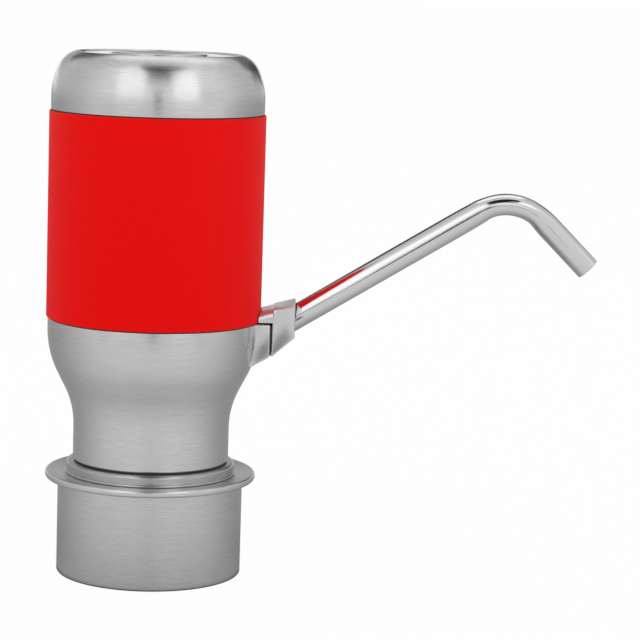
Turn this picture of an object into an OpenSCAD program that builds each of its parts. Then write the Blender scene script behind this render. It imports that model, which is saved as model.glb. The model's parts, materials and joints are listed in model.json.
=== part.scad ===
// Rechargeable pump head for a large drinking-water bottle.
// Origin: centre of the base's bottom rim. +Z is up, +X points along the spout.

/* [Body] */
// Outside diameter of the red sleeve
body_d = 70.4; // [66:0.2:76]
// Room over the lithium cell, which sets the height of the red sleeve
cell_room = 3.1; // [2:0.1:8]
// Wall of the red sleeve
sleeve_wall = 1.2; // [1:0.1:1.4]
// Shadow gap at each end of the sleeve
seam_gap = 0.3; // [0.1:0.1:0.6]
// How far the cap and the bell lie inside the sleeve's surface
seam_step = 0.55; // [0.3:0.05:0.7]
// Sheet of the cap and the bell
steel_wall = 1; // [0.8:0.1:1.2]
// Height of the spigot rims that enter the sleeve
spigot_rim_h = 4; // [3:0.5:5]

/* [Bell and neck] */
// Outside diameter of the neck
neck_d = 51.3; // [50:0.1:54]
// Height from the neck's lower edge to the bell's upper edge
bell_h = 46.9; // [46:0.1:50]
// Straight band at the top of the bell
bell_band = 3.7; // [3:0.1:5]
// Radius of the bell's upper curve
bell_arc_r = 31.8; // [29:0.1:34]
// Radius of the curve that runs out into the neck
neck_arc_r = 29.1; // [26:0.1:31]
// Slope of the bell's cone from upright
bell_slope = 27.1; // [25:0.1:28]

/* [Cap and button] */
// Straight band at the foot of the cap
cap_band = 4.1; // [3:0.1:6]
// Radius of the cap's lower curve
cap_arc_r = 24.6; // [22:0.1:27]
// Angle that the lower curve turns through
cap_arc_turn = 24; // [20:1:27]
// Radius of the cap's shoulder
shoulder_r = 9; // [8:0.1:10]
// Radius of the cap's rim at the top
rim_r = 27.4; // [26.5:0.1:28]
// Depth of the polished ring below the rim
ring_recess = 0.4; // [0.2:0.1:0.8]
// Thickness of the polished ring
ring_t = 1.6; // [1.2:0.1:2]
// Diameter of the push button
button_d = 31.2; // [28:0.2:33]
// Travel of the push button
button_travel = 1; // [0.6:0.1:1.2]

/* [Base] */
// Outside diameter of the base cup
base_d = 61; // [60.6:0.1:63]
// Height of the cup under the flange
cup_h = 31.6; // [30:0.1:36]
// Wall of the cup
cup_wall = 1; // [0.8:0.1:1.2]
// Diameter of the rolled flange
flange_d = 69.3; // [67:0.1:73]
// Thickness of the flange
flange_t = 1.9; // [1.6:0.1:2.2]
// Outside diameter of the collar
collar_d = 55.6; // [55:0.1:58]
// Height of the collar
collar_h = 3.8; // [3.4:0.1:4.6]
// Thickness of the dark slip ring under the neck
slip_t = 0.5; // [0.4:0.1:1]
// Wall of the liner that takes the bottle's neck
liner_wall = 1.65; // [1.5:0.05:1.8]
// Depth of that bore
socket_depth = 18; // [16:0.5:18]
// Thickness of the bottle gasket
gasket_t = 2.5; // [2:0.1:3]

/* [Spout] */
// Outside diameter of the tube
tube_d = 8; // [7.6:0.1:8.2]
// Wall of the tube
tube_wall = 0.6; // [0.5:0.1:0.8]
// Rise of the tube from level
spout_rise = 31.8; // [31:0.1:33]
// Drop of the tube's axis below the bell's upper edge, at the bracket's face
spout_drop = 3.33; // [3.2:0.01:3.6]
// Straight length of the tube before the bend
straight_len = 75.97; // [60:0.01:100]
// Radius of the bend at the tube's centre
bend_r = 16.4; // [14:0.1:24]
// Angle that the bend turns through
bend_turn = 76.6; // [65:0.1:90]
// Straight length after the bend
tip_len = 22.2; // [15:0.1:40]
// Width of the bracket and the holder
holder_w = 16; // [14:0.5:18]
// Distance from the sleeve to the holder's outer face
holder_reach = 11.3; // [11:0.1:15]
// Gap between the bracket and the holder
holder_gap = 0.6; // [0.4:0.1:0.8]

/* [Pump] */
// Diameter of the pump head
pump_d = 27; // [26:0.5:28]
// Tilt of the wobble plate
wobble_tilt = 4; // [3:0.5:4.5]
// Distance of the diaphragm's cups from the axis
cup_ring_r = 7.2; // [7:0.1:7.4]
// Diameter of the motor can
motor_d = 24.4; // [23.6:0.1:24.8]
// Length of the motor can and its end cap
motor_len = 30.8; // [28:0.1:34]
// Diameter of the hose nipples
nipple_d = 4.4; // [4:0.1:4.8]
// Wall of the hoses
hose_wall = 1.15; // [1:0.05:1.2]

/* [Power] */
// Diameter of the lithium cell
cell_d = 18.4; // [17:0.1:18.6]
// Length of the lithium cell
cell_len = 49.5; // [45:0.5:50]
// Diameter of the control board
board_d = 44; // [40:1:48]
// Thickness of the boards
board_t = 1.6; // [1:0.1:2]

/* [Hidden] */
$fn = 96;
fit_gap = 0.05;
free_gap = 0.3;
glue_gap = 0.1;
bend_thinning = 0.04;
chassis_t = 3;
tab_t = 0.6;
cut = 1;
tool_len = 40;
lead_sides = 8;

// Levels from the table up
flange_z = cup_h;
collar_z = flange_z + flange_t;
slip_z = collar_z + collar_h;
neck_z = slip_z + slip_t;
bell_top_z = neck_z + bell_h;
sleeve_z = bell_top_z + seam_gap;
sleeve_h = cell_len + cell_room + 2 * (tab_t + chassis_t + spigot_rim_h - seam_gap);
cap_z = sleeve_z + sleeve_h + seam_gap;

// Radii of the body
body_r = body_d / 2;
sleeve_ir = body_r - sleeve_wall;
shell_r = body_r - seam_step;
neck_r = neck_d / 2;
rim_out_r = sleeve_ir - fit_gap;
rim_t = 0.8;
rim_in_r = rim_out_r - rim_t;
rim_root_h = 2;
rim_root_in = 0.5;
rim_root_r = shell_r - rim_root_in;

// Tangent points of the bell's profile
bell_z1 = bell_top_z - bell_band;
bell_za = bell_z1 - bell_arc_r * sin(bell_slope);
bell_ra = shell_r - bell_arc_r * (1 - cos(bell_slope));
bell_rb = neck_r + neck_arc_r * (1 - cos(bell_slope));
bell_zb = bell_za - (bell_ra - bell_rb) / tan(bell_slope);
bell_z2 = bell_zb - neck_arc_r * sin(bell_slope);

// Tangent points of the cap's profile
cap_z0 = cap_z + cap_band;
cap_turn_c = [shell_r - cap_arc_r, cap_z0];
cap_join = cap_turn_c + cap_arc_r * [cos(cap_arc_turn), sin(cap_arc_turn)];
shoulder_c = cap_join - shoulder_r * [cos(cap_arc_turn), sin(cap_arc_turn)];
rim_z = shoulder_c[1] + sqrt(pow(shoulder_r, 2) - pow(rim_r - shoulder_c[0], 2));

// Base and its spigot
plug_spigot_r = 19.7;
plug_play = 0.6;
plug_bore_r = plug_spigot_r + plug_play;
plug_spigot_h = 7.8;
plug_flange_t = 4.2;
plug_foot_z = neck_z - plug_spigot_h;
plug_ring_r = 0.85;
plug_web = 3;
cup_ir = base_d / 2 - cup_wall;
liner_r = cup_ir - glue_gap;
socket_r = liner_r - liner_wall;
gasket_step = 0.85;
gasket_w = 5.7;
gasket_r = socket_r - gasket_step;
gasket_hole_r = gasket_r - gasket_w;
shelf_t = 2.5;
slip_set_in = 1.2;
inlet_r = 4;
inlet_shank_r = 5;
inlet_nut_r = 8;
inlet_nut_t = 2.5;
inlet_wall = 1;
inlet_groove = 0.5;
inlet_groove_w = 0.6;
inlet_groove_steps = [1.5, 3.1];
inlet_tip_gap = 0.5;
inlet_tip_z = socket_depth + inlet_tip_gap;

// Pump head, from its inlet up
nipple_r = nipple_d / 2;
nipple_bore_r = 1.3;
hose_ir = nipple_r + fit_gap;
hose_r = hose_ir + hose_wall;
plug_top_z = neck_z + plug_flange_t;
nipple_h = 4;
nipple_gap = 0.5;
cover_z = plug_top_z + 2 * nipple_h + nipple_gap;
cover_t = 6;
valve_z = cover_z + cover_t;
valve_t = 3;
valve_r = 2.6;
valve_disc_t = 0.6;
valve_seat = 0.85;
valve_stem_r = 0.7;
port_step = 4;
dia_z = valve_z + valve_t;
dia_t = 1.5;
dia_wall = 0.7;
dia_foot_r = 3.9;
dia_neck_r = 3.2;
dia_stem_r = 1.2;
dia_stem_h = 1;
housing_z = dia_z + dia_t;
housing_h = 21.5;
housing_wall = 1.5;
housing_top_t = 2.5;
pump_r = pump_d / 2;
housing_post_r = 2;
housing_post_h = 9;
post_thread = 7;
housing_window = [6, 6, 5];
housing_window_z = 12;
cup_angles = [0, 120, 240];
pump_screw_angles = [60, 180, 300];
motor_screw_angles = [0, 180];
pivot_h = 6;
pivot_z = housing_z + pivot_h;
wobble_t = 2;
wobble_arm_w = 3.6;
wobble_pad_r = 2.4;
wobble_hub_r = 3.5;
wobble_hub_h = 3;
pin_r = 1;
pin_end = 7.2;
eccentric_r = 5.5;
eccentric_gap = 4;
eccentric_z = pivot_z + eccentric_gap;
eccentric_h = 8;
eccentric_flat = 2.5;
shaft_r = 1;
shaft_play = 0.02;
shaft_foot_z = eccentric_z + eccentric_h / 2;
motor_z = housing_z + housing_h;
motor_r = motor_d / 2;
can_wall = 1;
can_floor_t = 1.5;
magnet_t = 1.75;
magnet_gap = 3;
magnet_lead = 3.5;
rotor_lead = 5;
rotor_gap = 0.4;
rotor_slot_w = 1.8;
rotor_slot_depth = 4.5;
commutator_r = 2.8;
commutator_h = 4.2;
end_cap_t = 3.8;
terminal_x = 6;
terminal_w = 2;
terminal_t = 0.8;
terminal_h = 2;
lead_r = 0.7;
lead_end_gap = 0.5;
lead_bow = 2;
lead_steps = 10;
can_len = motor_len - end_cap_t;
boss_r = 3;
boss_h = 1.6;
bushing_r = 2.4;
bushing_len = 2.6;
bushing_set_in = 0.6;
pump_screw_r = 1;
pump_screw_ring = 10.3;
motor_screw_ring = 8;
screw_head_h = 1.6;
screw_head_r = 1.9;

// Chassis and what it carries
lower_plate_z = bell_top_z + spigot_rim_h;
lower_plate_top = lower_plate_z + chassis_t;
upper_plate_z = cap_z - spigot_rim_h - chassis_t;
upper_plate_top = upper_plate_z + chassis_t;
chassis_r = sleeve_ir - free_gap;
mount_ring_t = 1.8;
mount_ring_r = motor_r + mount_ring_t;
mount_lip = 1.5;
mount_lip_t = 1.2;
post_r = 3;
post_hole = 8;
post_skin = 2;
chassis_screw_r = 1;
vent_r = 3.5;
vent_ring = 24;
vent_angles = [20, 200, 340];
hatch_r = 13;
post_ring = 28.6;
post_angles = [45, 135, 225, 315];
cell_r = cell_d / 2;
cell_gap = 0.8;
cell_y = motor_r + cell_r + cell_gap;
cell_fence = 5;
cell_fence_t = 0.85;
cell_tip_r = 3;
cell_tip_h = 1;
cell_tab_r = 5;
cell_hole_r = 4;
cell_z = lower_plate_top + tab_t;
cell_top_z = cell_z + cell_len;
standoff_h = 3.5;
standoff_r = 2.2;
board_screw_r = 0.9;
board_screw_inset = 3;
board_z = upper_plate_top + standoff_h;
board_top_z = board_z + board_t;
board_screw_ring = board_d / 2 - board_screw_inset;
board_screw_angles = [45, 165, 285];

// Charging socket at the back
charge_rise = 9;
charge_z = lower_plate_top + charge_rise;
charge_w = 9;
charge_h = 3.2;
charge_depth = 7;
charge_board_gap = 1.8;
charge_board_x = charge_board_gap - sleeve_ir;
charge_board_len = 14;
charge_board_w = 15;
charge_foot_z = charge_z - charge_h / 2 - board_t;
charge_rib = [9, 1.6];
charge_rib_in = 5;
charge_rib_x = charge_board_x + charge_rib_in;
charge_rib_y = 5.5;
charge_set_back = 0.4;
charge_wall = 0.35;
charge_tongue = [5.5, 5.8, 0.7];

// Button and its guide
ring_top_z = rim_z - ring_recess;
ring_z = ring_top_z - ring_t;
ring_seat_t = 1.2;
rim_lip = 0.5;
ring_seat_r = 23.5;
button_r = button_d / 2;
button_lip = 1.5;
button_bevel = 0.4;
button_lip_t = 1.6;
button_lip_z = ring_z - free_gap - button_lip_t;
guide_ir = button_r + button_lip + free_gap;
guide_wall = 1.5;
guide_floor_t = 1.2;
guide_depth = 6.8;
guide_z = button_lip_z - guide_depth;
stem_r = 2.5;
spring_r = 5;
spring_wire_r = 0.35;
spring_turns = 5;
spring_steps = 10;
spring_sides = 6;
switch_w = 6;
switch_h = 3.5;
light_size = [3, 2.4, 1.2];
light_angles = [105, 225, 345];
plunger_r = 1.75;
plunger_h = 1.4;
stem_gap = 0.2;
stem_end_z = board_top_z + switch_h + plunger_h + button_travel + stem_gap;

// Spout: along X from the body's axis, and along its own axis from the body's axis
tube_r = tube_d / 2;
holder_x = body_r + holder_reach;
tube_seat = 5;
tube_root = (holder_x - tube_seat) / cos(spout_rise);
bend_start = tube_root + straight_len;
bracket_depth = 3.3;
bracket_out_x = body_r + bracket_depth;
bracket_face = bracket_out_x / cos(spout_rise);
spout_axis_z = bell_top_z - spout_drop - bracket_out_x * tan(spout_rise);
spigot_r = 2.9;
spigot_bore_r = 1.6;
spigot_len = 7.3;
spigot_end = bracket_face - spigot_len;
spigot_ring_depth = 4.8;
spigot_ring_s = bracket_face - spigot_ring_depth;
spigot_ring_r = 0.55;
bracket_bore_r = 3.5;
bracket_bore_depth = 8.3;
bracket_bore_end = bracket_face - bracket_bore_depth;
bracket_stub_r = 4.2;
bracket_stub_len = 12.1;
bracket_stub_end = bracket_face - bracket_stub_len;
bracket_nipple_h = 3.4;
bracket_nipple_end = bracket_stub_end - bracket_nipple_h;
bracket_h = 10.7;
bracket_low = [bracket_out_x, bell_top_z - bracket_h];
bracket_low_slope = 30;
bracket_screw_drop = 4.6;
bracket_screw_z = bell_top_z - bracket_screw_drop;
bracket_screw_y = 6;
bracket_screw_r = 0.9;
bracket_head_r = 1.6;
bracket_head_h = 1;
bracket_head_in = 1.2;
bracket_skin = 1;
holder_gasket_t = 0.5;
holder_gasket_in = 0.5;
arm_z = bell_top_z + holder_gap;
holder_top_slope = 15.5;
holder_low_slope = 41.5;
holder_axis_z = spout_axis_z + holder_x * tan(spout_rise);
holder_above = 5.4;
holder_below = 5.75;
holder_top_z = holder_axis_z + holder_above;
holder_low_z = holder_axis_z - holder_below;
edge_r = 1;

// Outlet hose: up from the pump's elbow, round one bend, then along the spout's axis
hose_play = 0.6;
elbow_x = pump_r + hose_r + hose_play;
elbow_z = cover_z + cover_t / 2;
elbow_r = 2.6;
hose_turn = 90 - spout_rise;
hose_bend_r = 16;
hose_bend_z = spout_axis_z + elbow_x * tan(spout_rise) - hose_bend_r * tan(hose_turn / 2);

// A hollow cylinder
module pipe(r_out, r_in, h) {
  rotate_extrude() translate([r_in, 0]) square([r_out - r_in, h]);
}

// A pipe that runs up Z, bends towards +X and runs on straight
// Bending thins the wall by a hair, and the bend reaches a little way into both straight ends
module bent_pipe(r_out, r_in, lead_in, bend, turn, lead_out) {
  reach = 1;
  pipe(r_out, r_in, lead_in);
  translate([bend, 0, lead_in]) rotate([90, 0, 0]) rotate(180 - turn - reach)
    rotate_extrude(angle = turn + 2 * reach) translate([bend, 0]) difference() {
      circle(r_out - bend_thinning);
      circle(r_in + bend_thinning);
    }
  translate([bend * (1 - cos(turn)), 0, lead_in + bend * sin(turn)]) rotate([0, turn, 0])
    pipe(r_out, r_in, lead_out);
}

// A ring of round section
module o_ring(r_centre, r_section) {
  rotate_extrude() translate([r_centre, 0]) circle(r_section);
}

// A screw that points along +Z, with its head below z = 0
module screw(r, length, head_r, head_h) {
  translate([0, 0, -head_h]) difference() {
    union() {
      cylinder(r = head_r, h = head_h);
      cylinder(r = r, h = head_h + length);
    }
    translate([0, 0, -cut]) cylinder(r = head_r / 2, h = cut + head_h / 2, $fn = 6);
  }
}

// Copies its children round the axis
module around(angles, r) {
  for (a = angles) rotate(a) translate([r, 0, 0]) children();
}

// Puts its children on the spout's axis, with +Z along it
module on_spout(s = 0) {
  translate([0, 0, spout_axis_z]) rotate([0, 90 - spout_rise, 0]) translate([0, 0, s]) children();
}

// Fills the space between the chord p to q and the arc of radius r round c, on its outer side
module bulge(c, r, p, q) {
  intersection() {
    translate(c) circle(r);
    polygon([p, q, [q[0] + r, q[1]], [p[0] + r, p[1]]]);
  }
}

// Outline of the bell and neck, moved in by a wall
module bell_outline(inset, foot, top) {
  p_a = [bell_ra - inset * cos(bell_slope), bell_za + inset * sin(bell_slope)];
  p_b = [bell_rb - inset * cos(bell_slope), bell_zb + inset * sin(bell_slope)];
  difference() {
    union() {
      polygon([
        [0, foot], [neck_r - inset, foot], [neck_r - inset, bell_z2], p_b, p_a,
        [shell_r - inset, bell_z1], [shell_r - inset, top], [0, top]
      ]);
      bulge([shell_r - bell_arc_r, bell_z1], bell_arc_r - inset, p_a, [shell_r - inset, bell_z1]);
    }
    translate([neck_r + neck_arc_r, bell_z2]) circle(neck_arc_r + inset);
  }
}

// Outline of the cap, moved in by a wall and cut off at a height
module cap_outline(inset, foot, top) {
  end_r = shoulder_c[0] + sqrt(pow(shoulder_r - inset, 2) - pow(top - shoulder_c[1], 2));
  turn_end = cap_join - inset * [cos(cap_arc_turn), sin(cap_arc_turn)];
  polygon([
    [0, foot], [shell_r - inset, foot], [shell_r - inset, cap_z0], turn_end, [end_r, top], [0, top]
  ]);
  bulge(cap_turn_c, cap_arc_r - inset, [shell_r - inset, cap_z0], turn_end);
  bulge(shoulder_c, shoulder_r - inset, turn_end, [end_r, top]);
}

// A bar along X whose section is rounded on its upper edges
module round_top_bar(length, width, height) {
  rotate([90, 0, 90]) linear_extrude(length) {
    translate([-width / 2, -height]) square([width, height - edge_r]);
    translate([-width / 2 + edge_r, -edge_r]) square([width - 2 * edge_r, edge_r]);
    for (side = [-1, 1]) translate([side * (width / 2 - edge_r), -edge_r]) circle(edge_r);
  }
}

// A tube swept along points, with a round section of few sides
module swept(points, r, sides) {
  n = len(points);
  tangents = [for (i = [0:n - 1]) points[min(i + 1, n - 1)] - points[max(i - 1, 0)]];
  rings = [
    for (i = [0:n - 1])
      let (t = tangents[i] / norm(tangents[i]))
      let (side = cross([1, 0, 0], t))
      let (u = side / norm(side), w = cross(t, u))
        for (j = [0:sides - 1]) points[i] + r * (cos(360 * j / sides) * u + sin(360 * j / sides) * w)
  ];
  sides_faces = [
    for (i = [0:n - 2], j = [0:sides - 1])
      let (k = (j + 1) % sides, a = i * sides)
        each [[a + j, a + sides + j, a + sides + k], [a + j, a + sides + k, a + k]]
  ];
  caps = [
    for (j = [1:sides - 2])
      each [[0, j, j + 1], [(n - 1) * sides, (n - 1) * sides + j + 1, (n - 1) * sides + j]]
  ];
  polyhedron(points = rings, faces = concat(sides_faces, caps));
}

// Points of a slack lead that bows sideways between two ends
function slack(from, to, bow, count) = [
  for (i = [0:count])
    let (t = i / count) from + (to - from) * t + bow * pow(sin(180 * t), 2)
];

// Base

module base_cup() {
  color("silver") rotate_extrude() {
    polygon([
      [cup_ir, 0], [base_d / 2 - cup_wall / 2, 0], [base_d / 2, cup_wall / 2],
      [base_d / 2, flange_z], [cup_ir, flange_z]
    ]);
    translate([plug_bore_r + free_gap, flange_z])
      square([flange_d / 2 - flange_t / 2 - plug_bore_r - free_gap, flange_t]);
    translate([flange_d / 2 - flange_t / 2, flange_z + flange_t / 2]) circle(flange_t / 2);
  }
}

module base_collar() {
  color("silver") translate([0, 0, collar_z]) rotate_extrude() {
    translate([plug_bore_r, 0]) square([collar_d / 2 - plug_bore_r, collar_h - edge_r]);
    translate([plug_bore_r, 0]) square([collar_d / 2 - plug_bore_r - edge_r, collar_h]);
    translate([collar_d / 2 - edge_r, collar_h - edge_r]) circle(edge_r);
  }
}

module base_liner() {
  shelf_z = socket_depth + gasket_t;
  color("dimgray") rotate_extrude() difference() {
    square([liner_r, flange_z]);
    square([socket_r, socket_depth]);
    square([gasket_r + glue_gap, shelf_z]);
    square([gasket_hole_r, flange_z]);
    translate([0, shelf_z + shelf_t]) square([gasket_r + glue_gap, flange_z]);
  }
}

module bottle_gasket() {
  color("white") translate([0, 0, socket_depth]) pipe(gasket_r, gasket_hole_r, gasket_t);
}

module slip_ring() {
  color("black") translate([0, 0, slip_z]) pipe(neck_r - slip_set_in, plug_bore_r, slip_t);
}

// Lower body

module lower_shell() {
  color("silver") difference() {
    rotate_extrude() {
      difference() {
        bell_outline(0, neck_z, bell_top_z);
        bell_outline(steel_wall, neck_z - cut, bell_top_z + cut);
      }
      translate([rim_in_r, bell_top_z - rim_root_h]) square([rim_root_r - rim_in_r, rim_root_h]);
      translate([rim_in_r, bell_top_z - rim_root_h]) square([rim_t, spigot_rim_h + rim_root_h]);
    }
    on_spout(bracket_stub_end) cylinder(r = bracket_stub_r + fit_gap, h = tool_len);
    bracket_screw_holes(bracket_screw_r + fit_gap, body_r);
  }
}

module bottom_plug() {
  color("whitesmoke") difference() {
    rotate_extrude() {
      translate([0, neck_z]) square([neck_r - steel_wall - fit_gap, plug_flange_t]);
      difference() {
        translate([0, plug_foot_z]) square([plug_spigot_r, plug_spigot_h]);
        translate([plug_bore_r - 2 * plug_ring_r - 2 * fit_gap, slip_z - collar_h / 2 - plug_ring_r])
          square([plug_ring_r * 2, plug_ring_r * 2]);
      }
    }
    translate([0, 0, plug_foot_z + plug_web])
      pipe(plug_spigot_r - plug_web, inlet_shank_r + plug_web, plug_top_z);
    translate([0, 0, plug_foot_z - cut]) cylinder(r = inlet_shank_r + fit_gap, h = plug_top_z);
  }
}

module plug_o_ring() {
  color("black") translate([0, 0, slip_z - collar_h / 2])
    o_ring(plug_bore_r - fit_gap - plug_ring_r, plug_ring_r - fit_gap / 2);
}

module inlet_nipple() {
  color("gainsboro") difference() {
    union() {
      translate([0, 0, inlet_tip_z]) cylinder(r = inlet_r, h = plug_foot_z - inlet_tip_z);
      translate([0, 0, plug_foot_z - inlet_nut_t]) cylinder(r = inlet_nut_r, h = inlet_nut_t, $fn = 6);
      translate([0, 0, plug_foot_z]) cylinder(r = inlet_shank_r, h = plug_top_z - plug_foot_z);
      translate([0, 0, plug_top_z]) cylinder(r = nipple_r, h = nipple_h);
    }
    translate([0, 0, inlet_tip_z - cut]) {
      cylinder(r = nipple_bore_r, h = tool_len);
      cylinder(r = inlet_r - inlet_wall, h = plug_foot_z - inlet_tip_z);
    }
    for (step = inlet_groove_steps) translate([0, 0, inlet_tip_z + step])
      pipe(inlet_r + cut, inlet_r - inlet_groove, inlet_groove_w);
  }
}

module inlet_hose() {
  color("lightyellow") translate([0, 0, plug_top_z + fit_gap])
    pipe(hose_r, hose_ir, cover_z - plug_top_z - 2 * fit_gap);
}

// Pump head

module pump_screw_holes(r) {
  around(pump_screw_angles, pump_screw_ring) translate([0, 0, cover_z - cut])
    cylinder(r = r, h = housing_z - cover_z + housing_post_h);
}

module pump_cover() {
  inlet_pocket = 2.5;
  outlet_groove = 4.2;
  color("ivory") difference() {
    union() {
      translate([0, 0, cover_z]) cylinder(r = pump_r, h = cover_t);
      translate([0, 0, cover_z - nipple_h]) cylinder(r = nipple_r, h = nipple_h + cut);
      translate([0, 0, elbow_z]) rotate([0, 90, 0]) cylinder(r = elbow_r, h = elbow_x);
      translate([elbow_x, 0, elbow_z]) sphere(elbow_r);
      translate([elbow_x, 0, elbow_z]) cylinder(r = nipple_r, h = elbow_r + nipple_h);
    }
    translate([0, 0, cover_z - nipple_h - cut]) cylinder(r = nipple_bore_r, h = tool_len);
    translate([0, 0, valve_z - inlet_pocket]) cylinder(r = cup_ring_r - valve_r, h = cover_t);
    translate([0, 0, valve_z - outlet_groove])
      pipe(cup_ring_r + valve_r / 2, cup_ring_r - valve_r / 2, cover_t);
    translate([cup_ring_r, 0, elbow_z]) rotate([0, 90, 0])
      cylinder(r = nipple_bore_r, h = elbow_x - cup_ring_r);
    translate([elbow_x, 0, elbow_z]) cylinder(r = nipple_bore_r, h = tool_len);
    pump_screw_holes(pump_screw_r + fit_gap);
  }
}

module valve_plate() {
  port_ring = cup_ring_r - port_step;
  color("ivory") difference() {
    translate([0, 0, valve_z]) cylinder(r = pump_r, h = valve_t);
    around(cup_angles, cup_ring_r) {
      translate([0, 0, dia_z - valve_seat - fit_gap]) cylinder(r = valve_r + 2 * glue_gap, h = valve_t);
      translate([0, 0, valve_z - cut]) cylinder(r = valve_stem_r + glue_gap, h = valve_t + cut);
    }
    around(cup_angles, port_ring) translate([0, 0, valve_z - cut])
      cylinder(r = valve_stem_r, h = 2 * valve_t);
    pump_screw_holes(pump_screw_r + fit_gap);
  }
}

module valve_discs() {
  stem_z = valve_z + 2 * glue_gap;
  color("tomato") around(cup_angles, cup_ring_r) {
    translate([0, 0, dia_z - valve_seat]) cylinder(r = valve_r, h = valve_disc_t);
    translate([0, 0, stem_z]) cylinder(r = valve_stem_r, h = dia_z - valve_seat / 2 - stem_z);
  }
}

// Height of a cup's top under the tilted plate, at a place along X
function cup_top(x) =
  pivot_z - free_gap - glue_gap - wobble_t / 2 * cos(wobble_tilt) - (x + dia_stem_r) * sin(wobble_tilt);

module diaphragm() {
  color("darkorange") difference() {
    union() {
      translate([0, 0, dia_z]) cylinder(r = pump_r, h = dia_t);
      for (a = cup_angles) rotate(a) translate([cup_ring_r, 0, housing_z - glue_gap]) {
        h = cup_top(cup_ring_r * cos(a)) - housing_z;
        cylinder(r1 = dia_foot_r, r2 = dia_neck_r, h = h - dia_stem_h);
        cylinder(r = dia_stem_r, h = h);
      }
    }
    for (a = cup_angles) rotate(a) translate([cup_ring_r, 0, dia_z - glue_gap])
      cylinder(
        r1 = dia_foot_r - dia_wall, r2 = dia_neck_r - dia_wall,
        h = cup_top(cup_ring_r * cos(a)) - housing_z - dia_wall
      );
    pump_screw_holes(pump_screw_r + fit_gap);
  }
}

module on_pivot() {
  translate([0, 0, pivot_z]) rotate([0, wobble_tilt, 0]) children();
}

module wobble_plate() {
  color("white") on_pivot() {
    for (a = cup_angles) rotate(a) {
      translate([0, -wobble_arm_w / 2, -wobble_t / 2]) cube([cup_ring_r, wobble_arm_w, wobble_t]);
      translate([cup_ring_r, 0, -wobble_t / 2]) cylinder(r = wobble_pad_r, h = wobble_t);
    }
    translate([0, 0, -wobble_t / 2]) cylinder(r = wobble_hub_r, h = wobble_t / 2 + wobble_hub_h);
    cylinder(r = pin_r, h = pin_end);
  }
}

module eccentric() {
  color("khaki") difference() {
    translate([0, 0, eccentric_z]) cylinder(r = eccentric_r, h = eccentric_h);
    on_pivot() cylinder(r = pin_r + fit_gap, h = pin_end + 2 * glue_gap);
    translate([0, 0, shaft_foot_z]) cylinder(r = shaft_r, h = eccentric_h);
    translate([-eccentric_r - cut, -eccentric_r, shaft_foot_z])
      cube([eccentric_flat + cut, 2 * eccentric_r, eccentric_h]);
  }
}

module pump_housing() {
  color("dimgray") difference() {
    union() {
      translate([0, 0, housing_z]) pipe(pump_r, pump_r - housing_wall, housing_h);
      translate([0, 0, motor_z - housing_top_t]) cylinder(r = pump_r - housing_wall / 2, h = housing_top_t);
      around(pump_screw_angles, pump_screw_ring) translate([0, 0, housing_z])
        cylinder(r = housing_post_r, h = housing_post_h);
    }
    translate([0, 0, motor_z - tool_len / 2]) cylinder(r = boss_r + glue_gap, h = tool_len);
    pump_screw_holes(pump_screw_r);
    around(motor_screw_angles, motor_screw_ring) translate([0, 0, motor_z - housing_top_t - cut])
      cylinder(r = pump_screw_r + fit_gap, h = tool_len);
    for (a = pump_screw_angles) rotate(a - 30)
      translate([pump_r - housing_window[0] / 2, -housing_window[1] / 2, housing_z + housing_window_z])
        cube(housing_window);
  }
}

module pump_screws() {
  color("gray") around(pump_screw_angles, pump_screw_ring) translate([0, 0, cover_z])
    screw(pump_screw_r - fit_gap, housing_z - cover_z + post_thread, screw_head_r, screw_head_h);
}

module motor_screws() {
  color("gray") around(motor_screw_angles, motor_screw_ring) translate([0, 0, motor_z - housing_top_t])
    screw(pump_screw_r - fit_gap, housing_top_t + can_floor_t - free_gap, screw_head_r, screw_head_h);
}

// Motor

module motor_can() {
  color("silver") difference() {
    union() {
      translate([0, 0, motor_z]) cylinder(r = motor_r, h = can_len);
      translate([0, 0, motor_z - boss_h]) cylinder(r = boss_r, h = boss_h + cut);
    }
    translate([0, 0, motor_z + can_floor_t]) cylinder(r = motor_r - can_wall, h = can_len);
    translate([0, 0, motor_z - boss_h - cut]) cylinder(r = bushing_r + fit_gap, h = can_len);
    around(motor_screw_angles, motor_screw_ring) translate([0, 0, motor_z - cut])
      cylinder(r = pump_screw_r, h = can_len);
  }
}

module motor_magnets() {
  magnet_r = motor_r - can_wall - fit_gap;
  color("darkslategray") difference() {
    translate([0, 0, motor_z + magnet_lead]) pipe(magnet_r, magnet_r - magnet_t, can_len - 2 * magnet_lead);
    translate([-motor_r, -magnet_gap, motor_z]) cube([2 * motor_r, 2 * magnet_gap, motor_len]);
  }
}

module motor_rotor() {
  stack_r = motor_r - can_wall - fit_gap - magnet_t - rotor_gap;
  shaft_end_z = motor_z + motor_len + end_cap_t / 2;
  color("peru") {
    translate([0, 0, shaft_foot_z + glue_gap])
      cylinder(r = shaft_r - shaft_play, h = shaft_end_z - shaft_foot_z);
    difference() {
      translate([0, 0, motor_z + rotor_lead]) cylinder(r = stack_r, h = can_len - 2 * rotor_lead);
      for (a = pump_screw_angles) rotate(a)
        translate([stack_r - rotor_slot_depth, -rotor_slot_w / 2, motor_z])
          cube([2 * rotor_slot_depth, rotor_slot_w, motor_len]);
    }
    translate([0, 0, motor_z + can_len - rotor_lead]) cylinder(r = commutator_r, h = commutator_h);
  }
}

module motor_bushings() {
  color("goldenrod") {
    translate([0, 0, motor_z - boss_h]) pipe(bushing_r, shaft_r + fit_gap, boss_h + can_floor_t);
    translate([0, 0, motor_z + can_len + bushing_set_in]) pipe(bushing_r, shaft_r + fit_gap, bushing_len);
  }
}

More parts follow.
